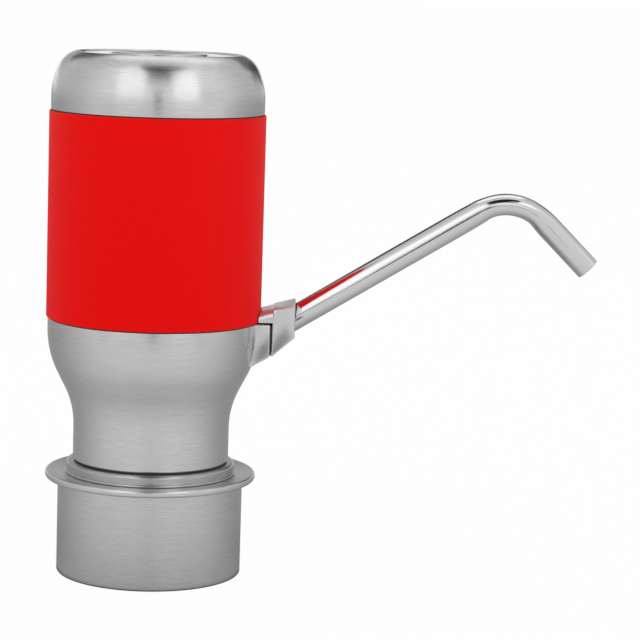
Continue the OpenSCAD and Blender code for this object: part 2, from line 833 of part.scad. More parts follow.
module motor_end_cap() {
  foot_z = motor_z + can_len - cut;
  color("ghostwhite") difference() {
    union() {
      translate([0, 0, motor_z + can_len]) cylinder(r = motor_r, h = end_cap_t);
      for (side = [-1, 1])
        translate([side * terminal_x - terminal_w / 2, -terminal_x - terminal_t / 2, motor_z + motor_len])
          cube([terminal_w, terminal_t, terminal_h]);
    }
    translate([0, 0, foot_z]) cylinder(r = bushing_r + fit_gap, h = cut + bushing_set_in + bushing_len);
    translate([0, 0, foot_z]) cylinder(r = shaft_r + free_gap, h = tool_len);
  }
}

module motor_mount_ring() {
  color("black") translate([0, 0, lower_plate_z]) {
    pipe(mount_ring_r, motor_r + fit_gap, chassis_t);
    translate([0, 0, -mount_lip_t]) pipe(mount_ring_r + mount_lip, motor_r + fit_gap, mount_lip_t);
  }
}

// Chassis and power

module lower_chassis() {
  post_h = upper_plate_z - fit_gap - lower_plate_z;
  color("darkgray") difference() {
    union() {
      translate([0, 0, lower_plate_z]) {
        cylinder(r = chassis_r, h = chassis_t);
        around(post_angles, post_ring) cylinder(r = post_r, h = post_h);
        intersection() {
          translate([0, cell_y, 0])
            pipe(cell_r + glue_gap + cell_fence_t, cell_r + glue_gap, chassis_t + cell_fence);
          cylinder(r = chassis_r, h = tool_len);
        }
        for (side = [-1, 1]) translate([charge_rib_x, side * charge_rib_y - charge_rib[1] / 2, 0])
          cube([charge_rib[0], charge_rib[1], charge_foot_z - lower_plate_z]);
      }
    }
    translate([0, 0, lower_plate_z - cut]) cylinder(r = mount_ring_r + fit_gap, h = chassis_t + 2 * cut);
    translate([0, 0, lower_plate_top]) cylinder(r = motor_r + free_gap, h = tool_len);
    around(post_angles, post_ring) translate([0, 0, upper_plate_z - post_hole])
      cylinder(r = chassis_screw_r, h = tool_len);
    around(vent_angles, vent_ring) translate([0, 0, lower_plate_z - cut])
      cylinder(r = vent_r, h = chassis_t + 2 * cut);
  }
}

module upper_chassis() {
  color("darkgray") translate([0, 0, upper_plate_z]) difference() {
    union() {
      cylinder(r = chassis_r, h = chassis_t);
      around(board_screw_angles, board_screw_ring) cylinder(r = standoff_r, h = chassis_t + standoff_h);
    }
    translate([0, 0, -cut]) {
      cylinder(r = hatch_r, h = tool_len);
      around(post_angles, post_ring) cylinder(r = chassis_screw_r + 2 * glue_gap, h = tool_len);
      translate([0, cell_y, 0]) cylinder(r = cell_hole_r, h = tool_len);
    }
    around(board_screw_angles, board_screw_ring) translate([0, 0, chassis_t - post_skin])
      cylinder(r = board_screw_r, h = tool_len);
  }
}

module chassis_screws() {
  color("gray") around(post_angles, post_ring) translate([0, 0, upper_plate_top]) rotate([180, 0, 0])
    screw(chassis_screw_r - fit_gap, chassis_t + post_hole - post_skin, screw_head_r, screw_head_h);
}

module battery_cell() {
  color("royalblue") translate([0, cell_y, cell_z]) {
    cylinder(r = cell_r, h = cell_len - cell_tip_h);
    cylinder(r = cell_tip_r, h = cell_len);
  }
}

module battery_tabs() {
  color("lightgray") translate([0, cell_y, 0]) {
    translate([0, 0, lower_plate_top]) cylinder(r = cell_tab_r, h = tab_t);
    translate([0, 0, cell_top_z]) cylinder(r = cell_hole_r, h = tab_t);
  }
}

module battery_leads() {
  start = [0, cell_y, cell_top_z + tab_t + lead_end_gap];
  finish = [0, board_d / 2 - cell_hole_r, board_z - lead_end_gap];
  color("crimson") swept(slack(start, finish, [0, lead_bow / 2, 0], lead_steps), lead_r, lead_sides);
}

module motor_leads() {
  from = motor_z + motor_len + terminal_h + fit_gap;
  color("crimson") for (side = [-1, 1]) {
    start = [side * terminal_x, -terminal_x, from];
    finish = [side * terminal_x, -terminal_x, board_z - fit_gap];
    swept(slack(start, finish, [side * lead_bow, 0, 0], lead_steps), lead_r, lead_sides);
  }
}

module circuit_board() {
  color("darkgreen") translate([0, 0, board_z]) difference() {
    cylinder(r = board_d / 2, h = board_t);
    around(board_screw_angles, board_screw_ring) translate([0, 0, -cut])
      cylinder(r = board_screw_r + 2 * glue_gap, h = tool_len);
  }
}

module board_screws() {
  color("gray") around(board_screw_angles, board_screw_ring) translate([0, 0, board_top_z])
    rotate([180, 0, 0]) screw(board_screw_r - fit_gap, board_t + standoff_h, screw_head_r, screw_head_h);
}

module push_switch() {
  color("black") {
    translate([-switch_w / 2, -switch_w / 2, board_top_z]) cube([switch_w, switch_w, switch_h]);
    translate([0, 0, board_top_z + switch_h]) cylinder(r = plunger_r, h = plunger_h);
  }
}

module status_lights() {
  color("white") around(light_angles, board_screw_ring)
    translate([-light_size[0] / 2, -light_size[1] / 2, board_top_z]) cube(light_size);
}

module charge_board() {
  color("darkgreen") translate([charge_board_x, -charge_board_w / 2, charge_foot_z])
    cube([charge_board_len, charge_board_w, board_t]);
}

// A flat slot with round ends, along X
module slot(length, width, height) {
  rotate([90, 0, 90]) linear_extrude(length) {
    square([width - height, height], center = true);
    for (side = [-1, 1]) translate([side * (width - height) / 2, 0]) circle(height / 2);
  }
}

module charge_socket() {
  mouth_x = charge_set_back - body_r;
  color("silver") translate([mouth_x, 0, charge_z]) {
    difference() {
      slot(charge_depth, charge_w, charge_h);
      translate([-cut, 0, 0]) slot(charge_depth, charge_w - 2 * charge_wall, charge_h - 2 * charge_wall);
    }
    translate([cut, -charge_tongue[1] / 2, -charge_tongue[2] / 2]) cube(charge_tongue);
  }
}

// Spout

module bracket_screw_holes(r, x) {
  start_x = rim_in_r - spigot_rim_h;
  for (side = [-1, 1]) translate([start_x, side * bracket_screw_y, bracket_screw_z])
    rotate([0, 90, 0]) cylinder(r = r, h = x - start_x);
}

module outlet_hose() {
  start_z = elbow_z + elbow_r + 2 * glue_gap;
  lead_in = hose_bend_z - start_z;
  lead_out = bracket_stub_end - fit_gap - elbow_x / cos(spout_rise) - hose_bend_r * tan(hose_turn / 2);
  color("lightyellow") translate([elbow_x, 0, start_z])
    bent_pipe(hose_r, hose_ir, lead_in, hose_bend_r, hose_turn, lead_out);
}

module spout_bracket() {
  low_run = bracket_out_x - neck_r;
  color("gainsboro") difference() {
    union() {
      intersection() {
        translate([0, holder_w / 2, 0]) rotate([90, 0, 0]) linear_extrude(holder_w) polygon([
          [neck_r, bracket_low[1] - low_run * tan(bracket_low_slope)], bracket_low,
          [bracket_out_x, bell_top_z], [neck_r, bell_top_z]
        ]);
        translate([neck_r, 0, bracket_low[1]]) mirror([0, 0, 1]) rotate([0, bracket_low_slope, 0])
          translate([-bracket_h / 2, 0, low_run * sin(bracket_low_slope)])
            round_top_bar(tool_len, holder_w, tool_len);
      }
      on_spout(bracket_stub_end) cylinder(r = bracket_stub_r, h = bracket_stub_len / 2);
    }
    difference() {
      rotate_extrude() bell_outline(-fit_gap, neck_z, bell_top_z + cut);
      on_spout(bracket_stub_end) cylinder(r = bracket_stub_r, h = bracket_stub_len - bracket_skin);
    }
    on_spout(bracket_bore_end) cylinder(r = bracket_bore_r, h = tool_len);
    on_spout(bracket_nipple_end - cut) cylinder(r = nipple_bore_r, h = tool_len);
    bracket_screw_holes(bracket_screw_r, bracket_out_x - bracket_skin);
  }
  color("gainsboro") on_spout(bracket_nipple_end)
    pipe(nipple_r, nipple_bore_r, bracket_stub_end - bracket_nipple_end);
}

module bracket_screws() {
  head_x = shell_r - steel_wall - bracket_head_in;
  length = bracket_out_x - bracket_skin - 2 * glue_gap - head_x;
  color("gray") for (side = [-1, 1]) translate([head_x, side * bracket_screw_y, bracket_screw_z])
    rotate([0, 90, 0]) screw(bracket_screw_r - fit_gap, length, bracket_head_r, bracket_head_h);
}

module holder_gasket() {
  width = holder_w - 2 * holder_gasket_in;
  foot_z = bracket_low[1] + holder_gasket_in;
  color("black") difference() {
    translate([bracket_out_x, -width / 2, foot_z])
      cube([holder_gasket_t, width, bell_top_z - holder_gasket_in - foot_z]);
    on_spout(bracket_stub_end) cylinder(r = bracket_bore_r, h = tool_len);
  }
}

module spout_holder() {
  left = bracket_out_x + holder_gap;
  back = body_r - edge_r;
  low_left = holder_low_z - (holder_x - left) * tan(holder_low_slope);
  top_left = holder_top_z - (holder_x - back) * tan(holder_top_slope);
  color("gainsboro") difference() {
    union() {
      intersection() {
        translate([0, holder_w / 2, 0]) rotate([90, 0, 0]) linear_extrude(holder_w) polygon([
          [back, arm_z], [back, top_left], [holder_x, holder_top_z],
          [holder_x, holder_low_z], [left, low_left], [left, arm_z]
        ]);
        translate([holder_x, 0, holder_top_z]) rotate([0, -holder_top_slope, 0])
          translate([-tool_len / 2, 0, 0]) round_top_bar(tool_len, holder_w, tool_len);
        translate([holder_x, 0, holder_low_z]) mirror([0, 0, 1]) rotate([0, holder_low_slope, 0])
          translate([-tool_len / 2, 0, 0]) round_top_bar(tool_len, holder_w, tool_len);
      }
      on_spout(spigot_end) cylinder(r = spigot_r, h = tube_root - spigot_end);
    }
    cylinder(r = body_r + free_gap, h = cap_z);
    on_spout(tube_root) cylinder(r = tube_r + fit_gap, h = tool_len);
    on_spout(spigot_end - cut) cylinder(r = spigot_bore_r, h = tool_len);
    on_spout(spigot_ring_s - spigot_ring_r - fit_gap)
      pipe(spigot_r + cut, spigot_r - spigot_ring_r - fit_gap, 2 * (spigot_ring_r + fit_gap));
  }
}

module spigot_o_ring() {
  color("black") on_spout(spigot_ring_s) o_ring(bracket_bore_r - fit_gap - spigot_ring_r, spigot_ring_r);
}

module spout_tube() {
  color("lightsteelblue") on_spout(tube_root)
    bent_pipe(tube_r, tube_r - tube_wall, bend_start - tube_root, bend_r, bend_turn, tip_len);
}

// Upper body

module body_sleeve() {
  color("red") difference() {
    translate([0, 0, sleeve_z]) pipe(body_r, sleeve_ir, sleeve_h);
    translate([-body_r - cut, 0, charge_z])
      slot(charge_depth, charge_w + 2 * free_gap, charge_h + 2 * free_gap);
  }
}

module top_cap() {
  color("silver") rotate_extrude() {
    difference() {
      cap_outline(0, cap_z, rim_z);
      cap_outline(steel_wall, cap_z - cut, ring_z - ring_seat_t);
      translate([0, ring_z]) square([rim_r - rim_lip, tool_len]);
      translate([0, cap_z]) square([ring_seat_r, tool_len]);
    }
    translate([rim_in_r, upper_plate_top]) square([rim_t, spigot_rim_h + rim_root_h]);
    translate([rim_in_r, cap_z]) square([rim_root_r - rim_in_r, rim_root_h]);
  }
}

module top_ring() {
  color("white") translate([0, 0, ring_z]) pipe(rim_r - rim_lip - fit_gap, button_r + free_gap, ring_t);
}

module button_guide() {
  color("dimgray") translate([0, 0, guide_z]) {
    pipe(guide_ir + guide_wall, guide_ir, ring_z - guide_z);
    pipe(guide_ir + guide_wall, stem_r + free_gap, guide_floor_t);
    translate([0, 0, ring_z - guide_z - ring_seat_t]) pipe(ring_seat_r - glue_gap, guide_ir, ring_seat_t);
  }
}

module button_spring() {
  foot = guide_z + guide_floor_t + spring_wire_r + fit_gap;
  height = button_lip_z - foot - spring_wire_r - fit_gap;
  steps = spring_turns * spring_steps;
  coil = [
    for (i = [0:steps])
      let (a = 360 * i / spring_steps) [spring_r * cos(a), spring_r * sin(a), foot + height * i / steps]
  ];
  color("gray") swept(coil, spring_wire_r, spring_sides);
}

module power_button() {
  lip_top = button_lip_z + button_lip_t;
  color("silver") rotate_extrude() polygon([
    [0, stem_end_z], [stem_r, stem_end_z], [stem_r, button_lip_z], [button_r + button_lip, button_lip_z],
    [button_r + button_lip, lip_top], [button_r, lip_top], [button_r, rim_z - button_bevel],
    [button_r - button_bevel, rim_z], [0, rim_z]
  ]);
}

base_cup();
base_collar();
base_liner();
bottle_gasket();
slip_ring();
lower_shell();
bottom_plug();
plug_o_ring();
inlet_nipple();
inlet_hose();
pump_cover();
valve_plate();
valve_discs();
diaphragm();
wobble_plate();
eccentric();
pump_housing();
pump_screws();
motor_screws();
motor_can();
motor_magnets();
motor_rotor();
motor_bushings();
motor_end_cap();
motor_mount_ring();
lower_chassis();
upper_chassis();
chassis_screws();
battery_cell();
battery_tabs();
battery_leads();
motor_leads();
circuit_board();
board_screws();
push_switch();
status_lights();
charge_board();
charge_socket();
outlet_hose();
spout_bracket();
bracket_screws();
holder_gasket();
spout_holder();
spout_tube();
spigot_o_ring();
body_sleeve();
top_cap();
top_ring();
button_guide();
button_spring();
power_button();
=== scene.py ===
"""Studio scene of a rechargeable bottle pump: finishes, detailed outer pieces, light and camera."""

import json
import logging
import math
from collections.abc import Callable
from dataclasses import dataclass, replace
from enum import Enum

import bpy
from mathutils import Matrix, Vector


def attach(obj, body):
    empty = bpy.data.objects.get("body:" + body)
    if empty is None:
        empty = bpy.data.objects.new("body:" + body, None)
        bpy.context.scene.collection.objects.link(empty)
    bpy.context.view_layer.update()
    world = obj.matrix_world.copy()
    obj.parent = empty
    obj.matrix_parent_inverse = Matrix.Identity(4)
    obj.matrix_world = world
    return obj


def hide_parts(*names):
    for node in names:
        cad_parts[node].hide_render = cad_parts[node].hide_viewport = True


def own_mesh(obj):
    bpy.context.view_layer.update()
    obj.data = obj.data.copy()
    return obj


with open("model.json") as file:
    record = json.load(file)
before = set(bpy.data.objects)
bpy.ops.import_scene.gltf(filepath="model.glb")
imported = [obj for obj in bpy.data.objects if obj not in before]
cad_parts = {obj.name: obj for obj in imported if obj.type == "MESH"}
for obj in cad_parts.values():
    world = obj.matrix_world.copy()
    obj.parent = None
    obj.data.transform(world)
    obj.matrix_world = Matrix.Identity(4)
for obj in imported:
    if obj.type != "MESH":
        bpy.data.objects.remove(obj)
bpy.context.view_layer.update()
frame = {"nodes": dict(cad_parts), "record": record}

LOG = logging.getLogger("pump_scene")
MM = 0.001
TURN_STEPS = 128
ARC_STEPS = 16
EDGE_STEPS = 10
SMOOTH_ANGLE = math.radians(32)
SHARP_ANGLE = math.radians(28)
WELD = 1e-6
BRUSH_TURNS = 7.0
BRUSH_FINE_SHARE = 0.82
BRUSH_BROAD_SHARE = 0.18
BRUSH_BROAD_SCALE = 0.22
DRAWN_STRETCH = 0.02
GRAIN_CLOUD_SCALE = 0.06
MARK_SPAN = (0.35, 0.7)
BUMP_DEPTH = 0.1 * MM
SPOUT_RISE = 31.8

Point = tuple[float, float]
Place = tuple[float, float, float]
Colour = tuple[float, float, float]

MIDDLE: Place = (0.0, 0.0, 0.09)


class Texture(Enum):
    """How a finish varies over its surface."""

    ROUND_BRUSH = "round_brush"
    DRAWN = "drawn"
    GRAIN = "grain"


class Joining(Enum):
    """What a tool does to the piece that it meets."""

    ADD = "UNION"
    CUT = "DIFFERENCE"


class NodeTree:
    """Short ways to add and link the nodes of one tree."""

    def __init__(self, tree: bpy.types.NodeTree) -> None:
        """Keeps the tree that the nodes go into."""
        self.tree = tree

    def add(self, kind: str, **settings: object) -> bpy.types.Node:
        """Adds a node.

        Args:
            kind: the node's type name.
            settings: properties to set on it.

        Returns:
            The new node.
        """
        node = self.tree.nodes.new(kind)
        for name, value in settings.items():
            setattr(node, name, value)
        return node

    def feed(self, socket: bpy.types.NodeSocket, source: object) -> None:
        """Links a socket to another, or sets its plain value.

        Args:
            socket: the socket that takes it.
            source: another socket or a plain value.
        """
        if isinstance(source, bpy.types.NodeSocket):
            self.tree.links.new(source, socket)
        else:
            socket.default_value = source

    def math(self, operation: str, *values: object) -> bpy.types.NodeSocket:
        """Adds a Math node.

        Args:
            operation: what it does.
            values: sockets or numbers that go in.

        Returns:
            The result's socket.
        """
        node = self.add("ShaderNodeMath", operation=operation)
        for socket, value in zip(node.inputs, values):
            self.feed(socket, value)
        return node.outputs[0]

    def noise(self, vector: object, scale: object, detail: float, rough: float) -> bpy.types.NodeSocket:
        """Adds a noise texture.

        Args:
            vector: the position that it reads.
            scale: its scale, as a socket or a number.
            detail: how many finer layers it has.
            rough: how strong those layers are.

        Returns:
            The socket of its grey value.
        """
        node = self.add("ShaderNodeTexNoise")
        self.feed(node.inputs["Vector"], vector)
        self.feed(node.inputs["Scale"], scale)
        node.inputs["Detail"].default_value = detail
        node.inputs["Roughness"].default_value = rough
        return node.outputs["Fac"]


class SurfaceGroups:
    """The shader groups that several finishes share, each built once."""

    def __init__(self) -> None:
        """Builds one group for each texture, and one for handling marks."""
        self.textures = {
            Texture.ROUND_BRUSH: self._round_brush(),
            Texture.DRAWN: self._drawn(),
            Texture.GRAIN: self._grain(),
        }
        self.marks = self._marks()

    @staticmethod
    def _start(name: str, outputs: tuple[str, ...]) -> tuple[NodeTree, dict, dict]:
        """Starts a group with a position and a scale going in.

        Args:
            name: the group's name.
            outputs: names of the values that it puts out.

        Returns:
            The tree, and its inner input and output sockets by name.
        """
        group = bpy.data.node_groups.new(name, "ShaderNodeTree")
        group.interface.new_socket("Position", in_out="INPUT", socket_type="NodeSocketVector")
        group.interface.new_socket("Scale", in_out="INPUT", socket_type="NodeSocketFloat")
        for label in outputs:
            group.interface.new_socket(label, in_out="OUTPUT", socket_type="NodeSocketFloat")
        tree = NodeTree(group)
        source = tree.add("NodeGroupInput")
        target = tree.add("NodeGroupOutput")
        return tree, {s.name: s for s in source.outputs}, {s.name: s for s in target.inputs}

    def _round_brush(self) -> bpy.types.NodeTree:
        """Fine lines that run round the upright axis, with no seam."""
        tree, given, out = self._start("round_brush", ("Mask", "Height"))
        split = tree.add("ShaderNodeSeparateXYZ")
        tree.feed(split.inputs[0], given["Position"])
        x, y, z = split.outputs
        squares = tree.math("ADD", tree.math("MULTIPLY", x, x), tree.math("MULTIPLY", y, y))
        radius = tree.math("MAXIMUM", tree.math("SQRT", squares), MM)
        across = tree.math("MULTIPLY", tree.math("ADD", z, radius), given["Scale"])
        place = tree.add("ShaderNodeCombineXYZ")
        tree.feed(place.inputs[0], tree.math("MULTIPLY", tree.math("DIVIDE", x, radius), BRUSH_TURNS))
        tree.feed(place.inputs[1], tree.math("MULTIPLY", tree.math("DIVIDE", y, radius), BRUSH_TURNS))
        tree.feed(place.inputs[2], across)
        fine = tree.noise(place.outputs[0], 1.0, 3.0, 0.65)
        broad = tree.noise(place.outputs[0], BRUSH_BROAD_SCALE, 2.0, 0.5)
        shares = (
            tree.math("MULTIPLY", fine, BRUSH_FINE_SHARE),
            tree.math("MULTIPLY", broad, BRUSH_BROAD_SHARE),
        )
        tree.feed(out["Mask"], tree.math("ADD", *shares))
        tree.feed(out["Height"], fine)
        return tree.tree

    def _drawn(self) -> bpy.types.NodeTree:
        """Faint lines along the piece's own X axis, as on drawn tube."""
        tree, given, out = self._start("drawn_lines", ("Mask", "Height"))
        stretch = tree.add("ShaderNodeMapping")
        tree.feed(stretch.inputs["Vector"], given["Position"])
        stretch.inputs["Scale"].default_value = (DRAWN_STRETCH, 1.0, 1.0)
        lines = tree.noise(stretch.outputs[0], given["Scale"], 2.0, 0.5)
        tree.feed(out["Mask"], lines)
        tree.feed(out["Height"], lines)
        return tree.tree

    def _grain(self) -> bpy.types.NodeTree:
        """The even fine grain of a moulded, cast or sprayed surface."""
        tree, given, out = self._start("fine_grain", ("Mask", "Height"))
        grain = tree.noise(given["Position"], given["Scale"], 4.0, 0.6)
        cloud_scale = tree.math("MULTIPLY", given["Scale"], GRAIN_CLOUD_SCALE)
        tree.feed(out["Mask"], tree.noise(given["Position"], cloud_scale, 3.0, 0.5))
        tree.feed(out["Height"], grain)
        return tree.tree

    def _marks(self) -> bpy.types.NodeTree:
        """Broad soft patches, where handling has changed the gloss a little."""
        tree, given, out = self._start("handling_marks", ("Mask",))
        patches = tree.noise(given["Position"], given["Scale"], 3.0, 0.55)
        spread = tree.add("ShaderNodeMapRange")
        tree.feed(spread.inputs["Value"], patches)
        spread.inputs["From Min"].default_value, spread.inputs["From Max"].default_value = MARK_SPAN
        tree.feed(out["Mask"], spread.outputs[0])
        return tree.tree


@dataclass(frozen=True)
class Finish:
    """One surface finish, with all that its material needs."""

    name: str
    dark: Colour
    light: Colour
    roughness: float
    roughness_spread: float = 0.08
    metallic: float = 0.0
    texture: Texture = Texture.GRAIN
    scale: float = 2500.0
    bump: float = 0.06
    mark_scale: float = 35.0
    mark_gloss: float = 0.04
    anisotropy: float = 0.0
    brush_turn: float = 0.0
    coat: float = 0.0
    specular: float = 0.5
    turn_y: float = 0.0

    def build(self, groups: SurfaceGroups) -> bpy.types.Material:
        """Builds the finish as a node material.

        Args:
            groups: the shared shader groups.

        Returns:
            The material.
        """
        material = bpy.data.materials.new(self.name)
        material.use_nodes = True
        tree = NodeTree(material.node_tree)
        shader = material.node_tree.nodes["Principled BSDF"]
        shader.inputs["Metallic"].default_value = self.metallic
        shader.inputs["Anisotropic"].default_value = self.anisotropy
        shader.inputs["Anisotropic Rotation"].default_value = self.brush_turn
        shader.inputs["Coat Weight"].default_value = self.coat
        shader.inputs["Specular IOR Level"].default_value = self.specular
        place = tree.add("ShaderNodeMapping")
        tree.feed(place.inputs["Vector"], tree.add("ShaderNodeTexCoord").outputs["Object"])
        place.inputs["Rotation"].default_value = (0.0, self.turn_y, 0.0)
        texture = self._group(tree, groups.textures[self.texture], place.outputs[0], self.scale)
        marks = self._group(tree, groups.marks, place.outputs[0], self.mark_scale)
        blend = tree.add("ShaderNodeMix", data_type="RGBA")
        tree.feed(blend.inputs[0], texture.outputs["Mask"])
        blend.inputs[6].default_value = (*self.dark, 1.0)
        blend.inputs[7].default_value = (*self.light, 1.0)
        tree.feed(shader.inputs["Base Color"], blend.outputs[2])
        brushed = tree.math("MULTIPLY_ADD", texture.outputs["Mask"], self.roughness_spread, self.roughness)
        handled = tree.math("MULTIPLY_ADD", marks.outputs["Mask"], self.mark_gloss, brushed)
        tree.feed(shader.inputs["Roughness"], handled)
        bump = tree.add("ShaderNodeBump")
        bump.inputs["Strength"].default_value = self.bump
        bump.inputs["Distance"].default_value = BUMP_DEPTH
        tree.feed(bump.inputs["Height"], texture.outputs["Height"])
        tree.feed(shader.inputs["Normal"], bump.outputs[0])
        return material

    @staticmethod
    def _group(
        tree: NodeTree, group: bpy.types.NodeTree, place: bpy.types.NodeSocket, scale: float
    ) -> bpy.types.Node:
        """Places a shared group in the material.

        Args:
            tree: the material's tree.
            group: the shared group.
            place: the position that it reads.
            scale: its scale here.

        Returns:
            The group's node.
        """
        node = tree.add("ShaderNodeGroup", node_tree=group)
        tree.feed(node.inputs["Position"], place)
        node.inputs["Scale"].default_value = scale
        return node


STEEL = Finish(
    "brushed_steel", (0.53, 0.53, 0.53), (0.82, 0.82, 0.815), 0.205, 0.08, 1.0,
    Texture.ROUND_BRUSH, 4000.0, 0.045, 30.0, 0.03, anisotropy=0.8, brush_turn=0.25,
)
# A darker copy of the brushed steel for the collar: painted shade, for the shade that falls on the collar
# between the neck and the flange.
COLLAR_PAINTED_SHADE_STEEL = replace(STEEL, name="collar_painted_shade_steel", dark=(0.37, 0.37, 0.37), light=(0.60, 0.60, 0.597))
SLOT_FINISHES = (
    STEEL,
    Finish(
        "red_coat", (0.80, 0.0015, 0.001), (0.865, 0.003, 0.002), 0.46, 0.05,
        scale=5200.0, bump=0.03, specular=0.07,
    ),
    Finish("satin_metal", (0.72, 0.725, 0.73), (0.82, 0.825, 0.83), 0.26, 0.08, 1.0, scale=3800.0, bump=0.02),
    Finish(
        "polished_steel", (0.67, 0.672, 0.675), (0.77, 0.772, 0.775), 0.075, 0.05, 1.0,
        Texture.DRAWN, 3800.0, 0.02, 60.0, 0.03, turn_y=math.radians(SPOUT_RISE),
    ),
    Finish("black_rubber", (0.012, 0.012, 0.012), (0.03, 0.03, 0.03), 0.62, 0.12, scale=4200.0, bump=0.12),
    Finish("silicone", (0.70, 0.70, 0.66), (0.83, 0.83, 0.80), 0.42, 0.08, scale=3000.0, bump=0.05),
    Finish("dark_plastic", (0.06, 0.06, 0.065), (0.11, 0.11, 0.115), 0.48, 0.10, scale=3600.0, bump=0.14),
    Finish("white_plastic", (0.70, 0.69, 0.66), (0.81, 0.80, 0.77), 0.40, 0.08, scale=3600.0, bump=0.08),
    Finish("grey_plastic", (0.27, 0.28, 0.29), (0.36, 0.37, 0.38), 0.46, 0.10, scale=3600.0, bump=0.12),
    Finish("motor_steel", (0.44, 0.44, 0.45), (0.58, 0.58, 0.58), 0.30, 0.12, 1.0, scale=2200.0, bump=0.06),
    Finish("magnet", (0.05, 0.05, 0.055), (0.10, 0.10, 0.105), 0.58, 0.10, 0.3, scale=3000.0, bump=0.12),
    Finish("core_steel", (0.28, 0.24, 0.20), (0.40, 0.35, 0.30), 0.42, 0.12, 0.9, scale=2600.0, bump=0.10),
    Finish("bronze", (0.46, 0.32, 0.13), (0.60, 0.44, 0.21), 0.34, 0.12, 1.0, scale=3000.0, bump=0.10),
    Finish("screw_steel", (0.38, 0.38, 0.39), (0.52, 0.52, 0.53), 0.28, 0.12, 1.0, scale=3200.0, bump=0.06),
    Finish("cell_wrap", (0.03, 0.13, 0.38), (0.06, 0.19, 0.46), 0.24, 0.06, scale=900.0, bump=0.05, coat=0.4),
    Finish("board", (0.012, 0.13, 0.05), (0.03, 0.20, 0.09), 0.34, 0.10, scale=1800.0, bump=0.10),
    Finish("wire_red", (0.52, 0.02, 0.02), (0.66, 0.04, 0.04), 0.45, 0.08, scale=3000.0, bump=0.06),
)
GOLD_CONTACT = Finish(
    "gold_contact", (0.70, 0.48, 0.16), (0.82, 0.60, 0.24), 0.22, 0.08, 1.0, scale=5000.0, bump=0.05
)


